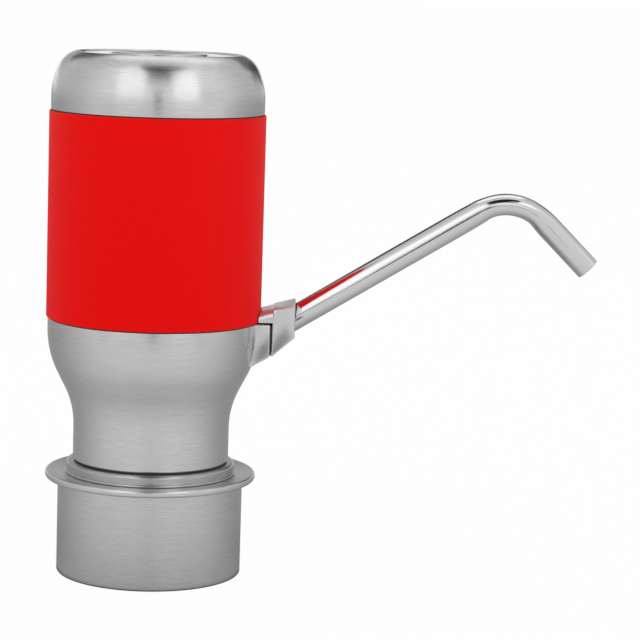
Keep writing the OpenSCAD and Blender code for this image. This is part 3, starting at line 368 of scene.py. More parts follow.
class Bench:
    """Modelling steps that the pieces share, each done with Blender's own operators."""

    @staticmethod
    def clear() -> None:
        """Leaves nothing selected."""
        bpy.ops.object.select_all(action="DESELECT")

    @staticmethod
    def edit(piece: bpy.types.Object) -> None:
        """Opens one piece in edit mode with all of it selected."""
        Bench.clear()
        bpy.context.view_layer.objects.active = piece
        piece.select_set(True)
        bpy.ops.object.mode_set(mode="EDIT")
        bpy.ops.mesh.select_all(action="SELECT")

    @staticmethod
    def close() -> None:
        """Merges doubles, drops loose edges, turns the faces outwards and leaves edit mode."""
        bpy.ops.mesh.select_all(action="SELECT")
        bpy.ops.mesh.remove_doubles(threshold=WELD)
        bpy.ops.mesh.delete_loose(use_verts=True, use_edges=True, use_faces=False)
        bpy.ops.mesh.select_all(action="SELECT")
        bpy.ops.mesh.normals_make_consistent(inside=False)
        bpy.ops.object.mode_set(mode="OBJECT")

    @staticmethod
    def settle(name: str) -> bpy.types.Object:
        """Names the primitive that was just added and puts its place into its mesh.

        Args:
            name: the piece's name.

        Returns:
            The piece.
        """
        piece = bpy.context.object
        piece.name = name
        bpy.ops.object.transform_apply(location=True, rotation=True, scale=True)
        return piece

    @staticmethod
    def spun(name: str, outline: list[Point]) -> bpy.types.Object:
        """Traces a closed outline point by point and spins it round the upright axis.

        Args:
            name: the piece's name.
            outline: radius and height of each point, in millimetres.

        Returns:
            The new piece.
        """
        Bench.clear()
        bpy.ops.mesh.primitive_plane_add(size=MM)
        piece = bpy.context.object
        piece.name = name
        Bench.edit(piece)
        bpy.ops.mesh.merge(type="CENTER")
        bpy.ops.transform.translate(value=(outline[0][0] * MM, 0.0, outline[0][1] * MM))
        closing = [*outline[1:], outline[0]]
        for (r_from, z_from), (r_to, z_to) in zip(outline, closing):
            step = ((r_to - r_from) * MM, 0.0, (z_to - z_from) * MM)
            bpy.ops.mesh.extrude_region_move(TRANSFORM_OT_translate={"value": step})
        bpy.ops.mesh.select_all(action="SELECT")
        bpy.ops.mesh.remove_doubles(threshold=WELD)
        bpy.ops.mesh.spin(steps=TURN_STEPS, angle=math.tau, center=(0, 0, 0), axis=(0, 0, 1))
        Bench.close()
        return piece

    @staticmethod
    def box(name: str, low: Place, high: Place) -> bpy.types.Object:
        """Adds a block.

        Args:
            name: its name.
            low: its lowest corner, in millimetres.
            high: its highest corner, in millimetres.

        Returns:
            The block.
        """
        Bench.clear()
        centre = [(a + b) / 2 * MM for a, b in zip(low, high)]
        size = [(b - a) * MM for a, b in zip(low, high)]
        bpy.ops.mesh.primitive_cube_add(size=1.0, location=centre, scale=size)
        return Bench.settle(name)

    @staticmethod
    def rod(name: str, radius: float, start: Vector, end: Vector, sides: int = 64) -> bpy.types.Object:
        """Adds a cylinder.

        Args:
            name: its name.
            radius: its radius, in millimetres.
            start: the middle of its first end, in millimetres.
            end: the middle of its other end, in millimetres.
            sides: the number of its sides.

        Returns:
            The cylinder.
        """
        Bench.clear()
        axis = end - start
        turn = axis.to_track_quat("Z", "Y").to_euler()
        middle = (start + end) / 2 * MM
        bpy.ops.mesh.primitive_cylinder_add(
            vertices=sides, radius=radius * MM, depth=axis.length * MM, location=middle, rotation=turn
        )
        return Bench.settle(name)

    @staticmethod
    def slice(piece: bpy.types.Object, point: Vector, away: Vector) -> None:
        """Cuts off what lies beyond a plane and closes the cut.

        Args:
            piece: the piece to cut.
            point: a point on the plane, in millimetres.
            away: the direction that is cut off.
        """
        Bench.edit(piece)
        bpy.ops.mesh.bisect(plane_co=point * MM, plane_no=away.normalized(), use_fill=True, clear_outer=True)
        Bench.close()

    @staticmethod
    def round_edges(piece: bpy.types.Object, width: float, chosen: Callable[[Vector], bool]) -> None:
        """Rounds some straight edges by a radius.

        Args:
            piece: the piece.
            width: the radius in millimetres.
            chosen: says from an edge's middle, in millimetres, whether it is rounded.
        """
        Bench.edit(piece)
        bpy.ops.mesh.select_mode(type="EDGE")
        bpy.ops.mesh.select_all(action="DESELECT")
        bpy.ops.object.mode_set(mode="OBJECT")
        points = piece.data.vertices
        for edge in piece.data.edges:
            first, last = edge.vertices
            edge.select = chosen((points[first].co + points[last].co) / 2 / MM)
        bpy.ops.object.mode_set(mode="EDIT")
        bpy.ops.mesh.bevel(offset=width * MM, segments=EDGE_STEPS, affect="EDGES")
        bpy.ops.mesh.select_mode(type="VERT")
        Bench.close()

    @staticmethod
    def apply(piece: bpy.types.Object, kind: str, **settings: object) -> None:
        """Adds a modifier and applies it.

        Args:
            piece: the piece.
            kind: the modifier's type.
            settings: properties to set on it.
        """
        Bench.clear()
        bpy.context.view_layer.objects.active = piece
        piece.select_set(True)
        modifier = piece.modifiers.new(kind.lower(), kind)
        for name, value in settings.items():
            setattr(modifier, name, value)
        bpy.ops.object.modifier_apply(modifier=modifier.name)

    @staticmethod
    def combine(piece: bpy.types.Object, tool: bpy.types.Object, joining: Joining) -> None:
        """Joins a tool to a piece or cuts it away, and deletes the tool."""
        Bench.apply(piece, "BOOLEAN", operation=joining.value, object=tool, solver="EXACT")
        bpy.data.objects.remove(tool)

    @staticmethod
    def soften(piece: bpy.types.Object, width: float, segments: int = 3) -> None:
        """Rounds a piece's sharp edges.

        Args:
            piece: the piece.
            width: the rounding's width, in millimetres.
            segments: the number of faces across it.
        """
        Bench.apply(
            piece, "BEVEL", width=width * MM, segments=segments, limit_method="ANGLE",
            angle_limit=SHARP_ANGLE, harden_normals=False,
        )

    @staticmethod
    def smooth(piece: bpy.types.Object) -> None:
        """Shades a piece smoothly, apart from its sharp edges."""
        Bench.clear()
        bpy.context.view_layer.objects.active = piece
        piece.select_set(True)
        bpy.ops.object.shade_smooth_by_angle(angle=SMOOTH_ANGLE)


def arc(centre: Point, radius: float, start: float, end: float, steps: int = ARC_STEPS) -> list[Point]:
    """Points on an arc.

    Args:
        centre: its centre.
        radius: its radius.
        start: its first angle in degrees.
        end: its last angle in degrees.
        steps: the number of chords.

    Returns:
        The points, both ends included.
    """
    angles = [math.radians(start + (end - start) * i / steps) for i in range(steps + 1)]
    return [(centre[0] + radius * math.cos(a), centre[1] + radius * math.sin(a)) for a in angles]


def plain(points: list[Point]) -> list[Place]:
    """Makes points into corners with no rounding."""
    return [(x, z, 0.0) for x, z in points]


def rounded(corners: list[Place], steps: int = 5) -> list[Point]:
    """Rounds the corners of a closed outline.

    Args:
        corners: radius, height and rounding radius of each corner; a rounding of zero keeps the point.
        steps: chords in each rounding.

    Returns:
        The points of the rounded outline.
    """
    points: list[Point] = []
    for i, (x, z, radius) in enumerate(corners):
        here = Vector((x, z))
        if radius <= 0:
            points.append((x, z))
            continue
        before = (Vector(corners[i - 1][:2]) - here).normalized()
        after = (Vector(corners[(i + 1) % len(corners)][:2]) - here).normalized()
        half = before.angle(after) / 2
        middle = (before + after).normalized() * (radius / math.sin(half))
        first = before * (radius / math.tan(half)) - middle
        last = after * (radius / math.tan(half)) - middle
        for k in range(steps + 1):
            way = first.lerp(last, k / steps).normalized() * radius
            points.append(tuple(here + middle + way))
    return points


class Dresser:
    """Gives pieces their finish and body, and hides the solids that they stand for."""

    def __init__(self) -> None:
        """Builds every finish once."""
        groups = SurfaceGroups()
        self.materials = {finish.name: finish.build(groups) for finish in SLOT_FINISHES}
        self.gold = GOLD_CONTACT.build(groups)
        # The darker collar steel is painted shade.
        self.collar = COLLAR_PAINTED_SHADE_STEEL.build(groups)

    def dress(
        self, piece: bpy.types.Object, body: str, slot: str, *nodes: str,
        material: bpy.types.Material | None = None,
    ) -> None:
        """Finishes one new piece.

        Args:
            piece: the piece.
            body: the body that it moves with.
            slot: the record's material slot.
            nodes: the solids that it stands for.
            material: a material other than the slot's own.
        """
        Bench.smooth(piece)
        piece.data.materials.clear()
        piece.data.materials.append(material or self.materials[slot])
        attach(piece, body)
        if nodes:
            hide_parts(*nodes)
        LOG.info("%s on %s: %d faces", piece.name, body, len(piece.data.polygons))

    def dress_solids(self) -> None:
        """Gives every solid of the frame the finish of its slot."""
        for row in frame["record"]["subparts"]:
            solid = frame["nodes"][row["node"]]
            solid.data.materials.clear()
            solid.data.materials.append(self.materials[row["material_slot"]])


@dataclass
class Base:
    """The steel cup, its rolled flange and collar, and the dark ring under the neck: a real washer, widened
    so that its black also stands in as painted shade for the shadow in the gap under the neck.
    """

    cup_r: float = 30.5
    cup_inner_r: float = 29.5
    flange_z: float = 31.6
    flange_t: float = 1.9
    flange_r: float = 34.65
    flange_hole_r: float = 20.6
    dish_r: float = 28.4
    dish_h: float = 0.48
    collar_r: float = 27.8
    collar_inner_r: float = 20.3
    collar_h: float = 3.8
    bead_r: float = 0.45
    # The washer's outer radius reaches into the gap under the neck so that its black shows there: partly the
    # real washer, partly painted shade for the shadow in that gap.
    slip_r: float = 25.3
    slip_t: float = 0.5
    cup_rounds: tuple[float, ...] = (0.3, 0.62, 0.7)
    flange_rounds: Point = (0.9, 0.8)
    collar_rounds: Point = (1.0, 0.4)
    slip_round: float = 0.15

    def build(self, dresser: Dresser) -> None:
        """Builds and dresses the base's pieces.

        Args:
            dresser: gives the pieces their finish.
        """
        flange_top = self.flange_z + self.flange_t
        collar_top = flange_top + self.collar_h
        slip_top = collar_top + self.slip_t
        lip, foot, neck = self.cup_rounds
        under, rim = self.flange_rounds
        cup = Bench.spun("base_cup_steel", rounded([
            (self.cup_inner_r, 0.0, lip), (self.cup_r, 0.0, foot), (self.cup_r, self.flange_z, neck),
            (self.flange_r, self.flange_z, under), (self.flange_r, flange_top + self.dish_h, rim),
            (self.dish_r, flange_top, 0.0), (self.flange_hole_r, flange_top, 0.0),
            (self.flange_hole_r, self.flange_z, 0.0), (self.cup_inner_r, self.flange_z, 0.0),
        ]))
        dresser.dress(cup, "base", "brushed_steel", "base_cup")
        bead = arc((self.collar_r, flange_top + self.bead_r), self.bead_r, -90, 90, 8)
        edge, bore = self.collar_rounds
        collar = Bench.spun("base_collar_steel", rounded([
            (self.collar_inner_r, flange_top, 0.0), *plain(bead),
            (self.collar_r, collar_top, edge), (self.collar_inner_r, collar_top, bore),
        ], 6))
        # The collar takes the darker copy of the steel: painted shade.
        dresser.dress(collar, "base", "brushed_steel", "base_collar", material=dresser.collar)
        ring = Bench.spun("slip_ring_rubber", rounded([
            (self.collar_inner_r, collar_top, 0.0), (self.slip_r, collar_top, self.slip_round),
            (self.slip_r, slip_top, self.slip_round), (self.collar_inner_r, slip_top, 0.0),
        ]))
        dresser.dress(ring, "slip", "black_rubber", "slip_ring")


@dataclass
class Bell:
    """The lower steel shell, from the neck's foot to the sleeve."""

    foot_z: float = 37.8
    top_z: float = 84.7
    neck_r: float = 25.65
    shell_r: float = 34.65
    wall: float = 1.0
    band: float = 3.7
    bell_arc_r: float = 31.8
    neck_arc_r: float = 29.1
    slope: float = 27.1
    rim_out_r: float = 33.95
    rim_in_r: float = 33.15
    rim_h: float = 4.0
    foot_rounds: Point = (0.3, 0.6)
    edge_round: float = 0.25
    rim_round: float = 0.2

    def curve(self, inset: float) -> list[Point]:
        """Points up the shell's curve, moved in by a wall.

        Args:
            inset: distance from the outer surface.

        Returns:
            The points from the neck to the upper band.
        """
        turn = math.radians(self.slope)
        upper_z = self.top_z - self.band
        upper_end = upper_z - self.bell_arc_r * math.sin(turn)
        upper_r = self.shell_r - self.bell_arc_r * (1 - math.cos(turn))
        lower_r = self.neck_r + self.neck_arc_r * (1 - math.cos(turn))
        lower_end = upper_end - (upper_r - lower_r) / math.tan(turn)
        lower_z = lower_end - self.neck_arc_r * math.sin(turn)
        neck = arc((self.neck_r + self.neck_arc_r, lower_z), self.neck_arc_r + inset, 180, 180 - self.slope)
        shoulder = arc((self.shell_r - self.bell_arc_r, upper_z), self.bell_arc_r - inset, -self.slope, 0)
        return neck + shoulder

    def build(self, dresser: Dresser) -> None:
        """Builds and dresses the shell.

        Args:
            dresser: gives it its finish.
        """
        bore, foot = self.foot_rounds
        rim_top = self.top_z + self.rim_h
        corners = [
            (self.neck_r - self.wall, self.foot_z, bore), (self.neck_r, self.foot_z, foot),
            *plain(self.curve(0.0)),
            (self.shell_r, self.top_z, self.edge_round), (self.rim_out_r, self.top_z, 0.0),
            (self.rim_out_r, rim_top, self.rim_round), (self.rim_in_r, rim_top, self.rim_round),
            (self.rim_in_r, self.top_z - self.band / 2, 0.0), *reversed(plain(self.curve(self.wall))),
        ]
        dresser.dress(Bench.spun("bell_steel", rounded(corners)), "pump", "brushed_steel", "lower_shell")


@dataclass
class Sleeve:
    """The red sleeve, with the charging slot at its back."""

    radius: float = 35.2
    inner_r: float = 34.0
    foot_z: float = 85.0
    top_z: float = 152.2
    edge: float = 0.35
    inner_edge: float = 0.2
    past: float = 1.0
    slot_z: float = 100.7
    slot_w: float = 9.6
    slot_h: float = 3.8
    slot_depth: float = 6.0
    socket_w: float = 9.0
    socket_h: float = 3.2
    socket_len: float = 7.0
    socket_wall: float = 0.35
    end_share: float = 0.49
    near: float = 0.1
    socket_edge: float = 0.08
    mouth_x: float = -34.8
    tongue_x: Point = (1.0, 6.2)
    tongue_half_w: float = 2.9
    tongue_half_t: float = 0.35
    tongue_edge: float = 0.12
    contact_x: Point = (1.3, 5.6)
    contact_ys: tuple[float, ...] = (-2.0, -1.2, -0.4, 0.4, 1.2, 2.0)
    contact_half_w: float = 0.14
    contact_z: Point = (0.3, 0.42)
    contact_edge: float = 0.04
    seam_r: float = 34.6
    seam_gap: float = 0.3
    seam_clear: float = 0.02

    def build(self, dresser: Dresser) -> None:
        """Builds and dresses the sleeve, the dark rings in the seams at its ends, which are painted shade for
        the shadow in those seams, and the charging socket.

        Args:
            dresser: gives the pieces their finish.
        """
        sleeve = Bench.spun("red_sleeve", rounded([
            (self.inner_r, self.foot_z, self.inner_edge), (self.radius, self.foot_z, self.edge),
            (self.radius, self.top_z, self.edge), (self.inner_r, self.top_z, self.inner_edge),
        ]))
        opening = self.capsule(
            "slot_tool", -self.radius - self.past, self.slot_depth, self.slot_w, self.slot_h
        )
        Bench.combine(sleeve, opening, Joining.CUT)
        dresser.dress(sleeve, "pump", "red_coat", "body_sleeve")
        # Black rings fill the thin seams between the sleeve and the steel: painted shade for the shadow in
        # those seams.
        feet = {"bell_seam_painted_shade": self.foot_z - self.seam_gap, "cap_seam_painted_shade": self.top_z}
        for name, foot in feet.items():
            low, high = foot + self.seam_clear, foot + self.seam_gap - self.seam_clear
            outline = [(self.inner_r, low), (self.seam_r, low), (self.seam_r, high), (self.inner_r, high)]
            dresser.dress(Bench.spun(name, outline), "pump", "black_rubber")
        self.build_socket(dresser)

    def build_socket(self, dresser: Dresser) -> None:
        """Builds and dresses the charging socket: its shell, its tongue and the contacts on that.

        Args:
            dresser: gives the pieces their finish.
        """
        socket = self.capsule("charge_shell", self.mouth_x, self.socket_len, self.socket_w, self.socket_h)
        hollow = self.capsule(
            "hollow_tool", self.mouth_x - self.past, self.socket_len,
            self.socket_w - 2 * self.socket_wall, self.socket_h - 2 * self.socket_wall,
        )
        Bench.combine(socket, hollow, Joining.CUT)
        Bench.soften(socket, self.socket_edge, 2)
        dresser.dress(socket, "pump", "polished_steel", "charge_socket")
        front, back = (self.mouth_x + x for x in self.tongue_x)
        tongue = Bench.box(
            "charge_tongue", (front, -self.tongue_half_w, self.slot_z - self.tongue_half_t),
            (back, self.tongue_half_w, self.slot_z + self.tongue_half_t),
        )
        Bench.soften(tongue, self.tongue_edge, 2)
        dresser.dress(tongue, "pump", "dark_plastic")
        front, back = (self.mouth_x + x for x in self.contact_x)
        low, high = (self.slot_z + z for z in self.contact_z)
        for i, y in enumerate(self.contact_ys):
            pad = Bench.box(
                f"charge_contact_{i}",
                (front, y - self.contact_half_w, low), (back, y + self.contact_half_w, high),
            )
            Bench.soften(pad, self.contact_edge, 1)
            dresser.dress(pad, "pump", "polished_steel", material=dresser.gold)

    def capsule(
        self, name: str, start: float, length: float, width: float, height: float
    ) -> bpy.types.Object:
        """Adds a flat block with round ends that runs along X at the slot's height.

        Args:
            name: the block's name.
            start: X of its first face.
            length: its length along X.
            width: its width along Y.
            height: its height.

        Returns:
            The new block.
        """
        low = (start, -width / 2, self.slot_z - height / 2)
        high = (start + length, width / 2, self.slot_z + height / 2)
        block = Bench.box(name, low, high)
        first, last = low[0] + self.near, high[0] - self.near
        Bench.round_edges(block, self.end_share * height, lambda middle: first < middle.x < last)
        return block


@dataclass
class Cap:
    """The steel cap, the polished ring in its top and the push button."""

    foot_z: float = 152.5
    rim_z: float = 171.395
    shell_r: float = 34.65
    wall: float = 1.0
    band: float = 4.1
    side_arc_r: float = 24.6
    side_turn: float = 24.0
    shoulder_r: float = 9.0
    rim_r: float = 27.4
    rim_lip: float = 0.5
    rim_out_r: float = 33.95
    rim_in_r: float = 33.15
    rim_h: float = 4.0
    ring_z: float = 169.395
    ring_t: float = 1.6
    ring_inner_r: float = 15.9
    seat_r: float = 23.5
    seat_t: float = 1.2
    button_r: float = 15.6
    button_lip: float = 1.5
    lip_z: float = 167.495
    lip_t: float = 1.6
    stem_r: float = 2.5
    stem_z: float = 159.7
    dish: float = 0.35
    travel: float = 1.0
    spring_r: float = 5.0
    spring_turns: int = 5
    spring_gap: float = 0.05
    wire_r: float = 0.35
    wire_sides: int = 10
    coil_steps: int = 24
    seat_floor_z: float = 161.895
    edge_round: float = 0.25
    rim_round: float = 0.2
    lip_round: float = 0.12
    ring_gap: float = 0.05
    ring_rounds: tuple[float, ...] = (0.1, 0.3, 0.35)
    button_rounds: tuple[float, ...] = (0.3, 0.2, 0.5)
    button_edge: float = 1.2
    dish_steps: int = 10

    def curve(self, inset: float, top: float) -> list[Point]:
        """Points up the cap's side and shoulder, moved in by a wall.

        Args:
            inset: distance from the outer surface.
            top: height at which the curve ends.

        Returns:
            The points from the band to the top.
        """
        turn = math.radians(self.side_turn)
        start = (self.shell_r - self.side_arc_r, self.foot_z + self.band)
        reach = self.side_arc_r - self.shoulder_r
        shoulder = (start[0] + reach * math.cos(turn), start[1] + reach * math.sin(turn))
        radius = self.shoulder_r - inset
        last = math.degrees(math.asin((top - shoulder[1]) / radius))
        side = arc(start, self.side_arc_r - inset, 0, self.side_turn, 10)
        return side + arc(shoulder, radius, self.side_turn, last, 20)[1:]

    def build(self, dresser: Dresser) -> None:
        """Builds and dresses the cap and its ring, and then the button and its spring.

        Args:
            dresser: gives the pieces their finish.
        """
        seat_z = self.ring_z - self.seat_t
        foot = self.foot_z - self.rim_h
        lip_r = self.rim_r - self.rim_lip
        cap = Bench.spun("cap_steel", rounded([
            (self.rim_in_r, foot, self.rim_round), (self.rim_out_r, foot, self.rim_round),
            (self.rim_out_r, self.foot_z, 0.0), (self.shell_r, self.foot_z, self.edge_round),
            *plain(self.curve(0.0, self.rim_z)),
            (lip_r, self.rim_z, self.lip_round), (lip_r, self.ring_z, 0.0),
            (self.seat_r, self.ring_z, self.rim_round), (self.seat_r, seat_z, self.rim_round),
            *reversed(plain(self.curve(self.wall, seat_z))),
            (self.rim_in_r, self.foot_z + self.band / 2, 0.0),
        ]))
        dresser.dress(cap, "pump", "brushed_steel", "top_cap")
        ring_top = self.ring_z + self.ring_t
        ring_r = lip_r - self.ring_gap
        under, outer, inner = self.ring_rounds
        ring = Bench.spun("top_ring_polished", rounded([
            (self.ring_inner_r, self.ring_z, under), (ring_r, self.ring_z, under),
            (ring_r, ring_top, outer), (self.ring_inner_r, ring_top, inner),
        ]))
        dresser.dress(ring, "pump", "polished_steel", "top_ring")
        self.build_button(dresser)
        self.build_spring(dresser)

    def build_button(self, dresser: Dresser) -> None:
        """Builds and dresses the push button, with a rounded edge and a shallow dish.

        Args:
            dresser: gives it its finish.
        """
        lip_r = self.button_r + self.button_lip
        lip_top = self.lip_z + self.lip_t
        flat_r = self.button_r - self.button_edge
        shares = [1 - i / self.dish_steps for i in range(self.dish_steps + 1)]
        dish = [(flat_r * share, self.rim_z - self.dish * (1 - share ** 2)) for share in shares]
        end, lip, edge = self.button_rounds
        button = Bench.spun("power_button_steel", rounded([
            (0.0, self.stem_z, 0.0), (self.stem_r, self.stem_z, end), (self.stem_r, self.lip_z, lip),
            (lip_r, self.lip_z, lip), (lip_r, lip_top, lip), (self.button_r, lip_top, 0.0),
            (self.button_r, self.rim_z, edge), *plain(dish),
        ]))
        dresser.dress(button, "button", "brushed_steel", "power_button")

    def build_spring(self, dresser: Dresser) -> None:
        """Builds and dresses the button's coil spring: a ring of wire that is screwed up round the axis.

        Args:
            dresser: gives it its finish.
        """
        room = self.lip_z - self.seat_floor_z
        end = self.wire_r + self.spring_gap
        Bench.clear()
        start = Vector((self.spring_r, 0.0, self.seat_floor_z + end)) * MM
        bpy.ops.mesh.primitive_circle_add(
            vertices=self.wire_sides, radius=self.wire_r * MM,
            location=start, rotation=(math.pi / 2, 0.0, 0.0),
        )
        spring = Bench.settle("button_spring_wire")
        Bench.apply(
            spring, "SCREW", axis="Z", angle=math.tau, iterations=self.spring_turns,
            steps=self.coil_steps, render_steps=self.coil_steps,
            screw_offset=(room - 2 * end) / self.spring_turns * MM,
        )
        Bench.edit(spring)
        bpy.ops.mesh.fill_holes(sides=0)
        Bench.close()
        dresser.dress(spring, "pump", "motor_steel", "button_spring")
        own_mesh(spring)


@dataclass
class Diaphragm:
    """The pump's sheet with three cups, all low enough for the wobble plate at every turn of the motor."""

    foot_z: float = 59.5
    top_z: float = 61.0
    sheet_r: float = 13.5
    cup_angles: tuple[float, ...] = (0.0, 120.0, 240.0)
    cup_ring: float = 7.2
    foot_r: float = 3.9
    neck_r: float = 3.2
    neck_z: float = 63.9
    stem_r: float = 1.2
    stem_z: float = 64.9
    wall: float = 0.7
    screw_turn: float = 60.0
    screw_ring: float = 10.3
    screw_r: float = 1.05
    rounds: tuple[float, ...] = (0.6, 0.3, 0.2, 0.4)
    sheet_sides: int = 96
    screw_sides: int = 32
    past: float = 1.0

    def build(self, dresser: Dresser) -> None:
        """Builds and dresses the sheet, with its cups and their stems and the holes for the screws.

        Args:
            dresser: gives it its finish.
        """
        faces = (self.at(0.0, 0.0, self.foot_z), self.at(0.0, 0.0, self.top_z))
        sheet = Bench.rod("diaphragm_cups", self.sheet_r, *faces, self.sheet_sides)
        root_z = (self.foot_z + self.top_z) / 2
        neck, stem, tip, roof = self.rounds
        cup = rounded([
            (0.0, root_z, 0.0), (self.foot_r, root_z, 0.0), (self.foot_r, self.top_z, 0.0),
            (self.neck_r, self.neck_z, neck), (self.stem_r, self.neck_z, stem),
            (self.stem_r, self.stem_z, tip), (0.0, self.stem_z, 0.0),
        ])
        low, high = self.foot_z - self.past, self.top_z + self.past
        inner_r, roof_z = self.foot_r - self.wall, self.neck_z - self.wall
        hollow = rounded([
            (0.0, low, 0.0), (inner_r, low, 0.0), (inner_r, self.foot_z, 0.0),
            (self.neck_r - self.wall, roof_z, roof), (0.0, roof_z, 0.0),
        ])
        for angle in self.cup_angles:
            for outline, joining in ((cup, Joining.ADD), (hollow, Joining.CUT)):
                tool = Bench.spun("cup_tool", outline)
                tool.location = self.at(angle, self.cup_ring, 0.0) * MM
                Bench.combine(sheet, tool, joining)
            ends = (self.at(angle + self.screw_turn, self.screw_ring, z) for z in (low, high))
            Bench.combine(sheet, Bench.rod("hole_tool", self.screw_r, *ends, self.screw_sides), Joining.CUT)
        dresser.dress(sheet, "pump", "silicone", "diaphragm")

    @staticmethod
    def at(angle: float, radius: float, height: float) -> Vector:
        """The point at an angle in degrees round the axis."""
        turn = math.radians(angle)
        return Vector((radius * math.cos(turn), radius * math.sin(turn), height))


@dataclass
class Spout:
    """The bracket on the bell, the holder that plugs into it and the bent tube."""

    axis_z: float = 57.5
    rise: float = SPOUT_RISE
    half_w: float = 8.0
    low_z: float = 60.0
    high_z: float = 105.0
    bracket_x: float = 38.5
    bracket_top: float = 84.7
    bracket_low: float = 74.0
    bracket_slope: float = 30.0
    bracket_root_x: float = 27.0
    bracket_edge: float = 0.6
    core_past: float = 3.0
    gap: float = 0.6
    reach: float = 46.5
    top_slope: float = 15.5
    low_slope: float = 41.5
    above: float = 5.4
    below: float = 5.75
    arm_x: float = 33.0
    arm_lap: float = 2.0
    arm_inset: float = 0.05
    arm_round: float = 2.6
    near: float = 0.1
    sleeve_gap_r: float = 35.5
    sleeve_gap_z: Point = (50.0, 130.0)
    sleeve_gap_sides: int = 192
    edge: float = 0.55
    flat_start: float = 0.25
    flat_end: float = 1.0
    mouth_s: float = 70.0
    seal_w: float = 0.62
    seal_start: float = 0.3
    seal_clear: float = 0.03
    seal_inset: float = 0.15
    seal_core_share: float = 0.99
    bore_r: float = 3.5
    bore_s: Point = (37.0, 60.0)
    stub_r: float = 4.2
    stub_s: Point = (33.2, 42.5)
    spigot_r: float = 2.9
    spigot_s: float = 38.0
    spigot_lap: float = 0.5
    spigot_round: float = 0.3
    water_r: float = 1.6
    water_s: Point = (30.0, 60.0)
    ring_s: float = 40.5
    ring_w: float = 1.2
    groove_r: float = 2.3
    groove_past: float = 1.0
    tube_r: float = 4.0
    tube_wall: float = 0.6
    root_s: float = 48.83
    bend_s: float = 124.8
    bend_r: float = 16.4
    turn: float = 76.6
    tip: float = 22.2
    tip_round: float = 0.22
    straight_shares: tuple[float, ...] = (0.5, 0.4, 0.1)
    tip_shares: tuple[float, ...] = (0.12, 0.38, 0.5)
    squeeze: float = 0.885
    bulge: float = 1.045
    squeeze_past: float = 9.0
    squeeze_ramp: float = 22.0
    least_cosine: float = 0.2
    sides: int = 64
    bend_steps: int = 36

    def on_axis(self, s: float) -> Vector:
        """The point at a distance along the straight tube's axis."""
        angle = math.radians(self.rise)
        return Vector((s * math.cos(angle), 0.0, self.axis_z + s * math.sin(angle)))

    def rod(self, name: str, radius: float, first: float, last: float) -> bpy.types.Object:
        """Adds a rod on the straight tube's axis, between two distances along it."""
        return Bench.rod(name, radius, self.on_axis(first), self.on_axis(last))

    def build(self, dresser: Dresser, bell: Bell) -> None:
        """Builds and dresses the bracket, the holder, the seal in its mouth and the tube.

        Args:
            dresser: gives the pieces their finish.
            bell: the shell that the bracket sits on.
        """
        dresser.dress(self.bracket(bell), "pump", "satin_metal", "spout_bracket")
        dresser.dress(self.holder(), "spout", "satin_metal", "spout_holder")
        dresser.dress(self.seal(), "spout", "black_rubber")
        dresser.dress(self.tube(), "spout", "polished_steel", "spout_tube")

    def bracket(self, bell: Bell) -> bpy.types.Object:
        """Models the bracket: a wedge that fits the bell, with the bore for the spout.

        Args:
            bell: the shell that it sits on.

        Returns:
            The bracket.
        """
        block = Bench.box(
            "spout_bracket_block", (self.bracket_root_x, -self.half_w, self.low_z),
            (self.bracket_x, self.half_w, self.bracket_top),
        )
        corner = Vector((self.bracket_x, 0.0, self.bracket_low))
        Bench.slice(block, corner, -self.square_to(self.bracket_slope))
        Bench.soften(block, self.bracket_edge, 4)
        core_z = bell.top_z + self.core_past
        core = Bench.spun("bell_tool", [
            (0.0, bell.foot_z), (bell.neck_r, bell.foot_z), *bell.curve(0.0),
            (bell.shell_r, core_z), (0.0, core_z),
        ])
        Bench.combine(block, core, Joining.CUT)
        Bench.combine(block, self.rod("stub_tool", self.stub_r, *self.stub_s), Joining.ADD)
        Bench.combine(block, self.rod("bore_tool", self.bore_r, *self.bore_s), Joining.CUT)
        return block

    @staticmethod
    def square_to(slope: float) -> Vector:
        """The upward direction square to a plane that rises towards +X, by a slope in degrees."""
        return Vector((-math.sin(math.radians(slope)), 0.0, math.cos(math.radians(slope))))

    def holder(self) -> bpy.types.Object:
        """Models the holder: a sloped block, a rounded arm at its back and a plug for the bracket.

        Returns:
            The holder.
        """
        axis_z = self.axis_z + self.reach * math.tan(math.radians(self.rise))
        top_z = axis_z + self.above
        left = self.bracket_x + self.gap
        left_z = top_z - (self.reach - left) * math.tan(math.radians(self.top_slope))
        block = Bench.box(
            "spout_holder_block", (left, -self.half_w, self.low_z), (self.reach, self.half_w, self.high_z)
        )
        Bench.slice(block, Vector((self.reach, 0.0, top_z)), self.square_to(self.top_slope))
        Bench.slice(block, Vector((self.reach, 0.0, axis_z - self.below)), -self.square_to(self.low_slope))
        Bench.soften(block, self.edge, 4)
        for side in (-1.0, 1.0):
            corner = Vector((self.reach, side * self.half_w, top_z - self.flat_end))
            along = Vector((left, side * self.half_w, left_z - self.flat_start)) - corner
            across = Vector((0.0, -side * self.flat_end, self.flat_end))
            Bench.slice(block, corner, along.cross(across) * side)
        Bench.combine(block, self.arm(left, top_z), Joining.ADD)
        mouth = self.rod("socket_tool", self.tube_r + self.seal_w, self.root_s, self.mouth_s)
        Bench.combine(block, mouth, Joining.CUT)
        plug = self.rod("plug_tool", self.spigot_r, self.spigot_s, self.root_s + self.spigot_lap)
        Bench.soften(plug, self.spigot_round, 2)
        Bench.combine(block, plug, Joining.ADD)
        Bench.combine(block, self.rod("water_tool", self.water_r, *self.water_s), Joining.CUT)
        Bench.combine(block, self.groove(), Joining.CUT)
        Bench.edit(block)
        Bench.close()
        return block

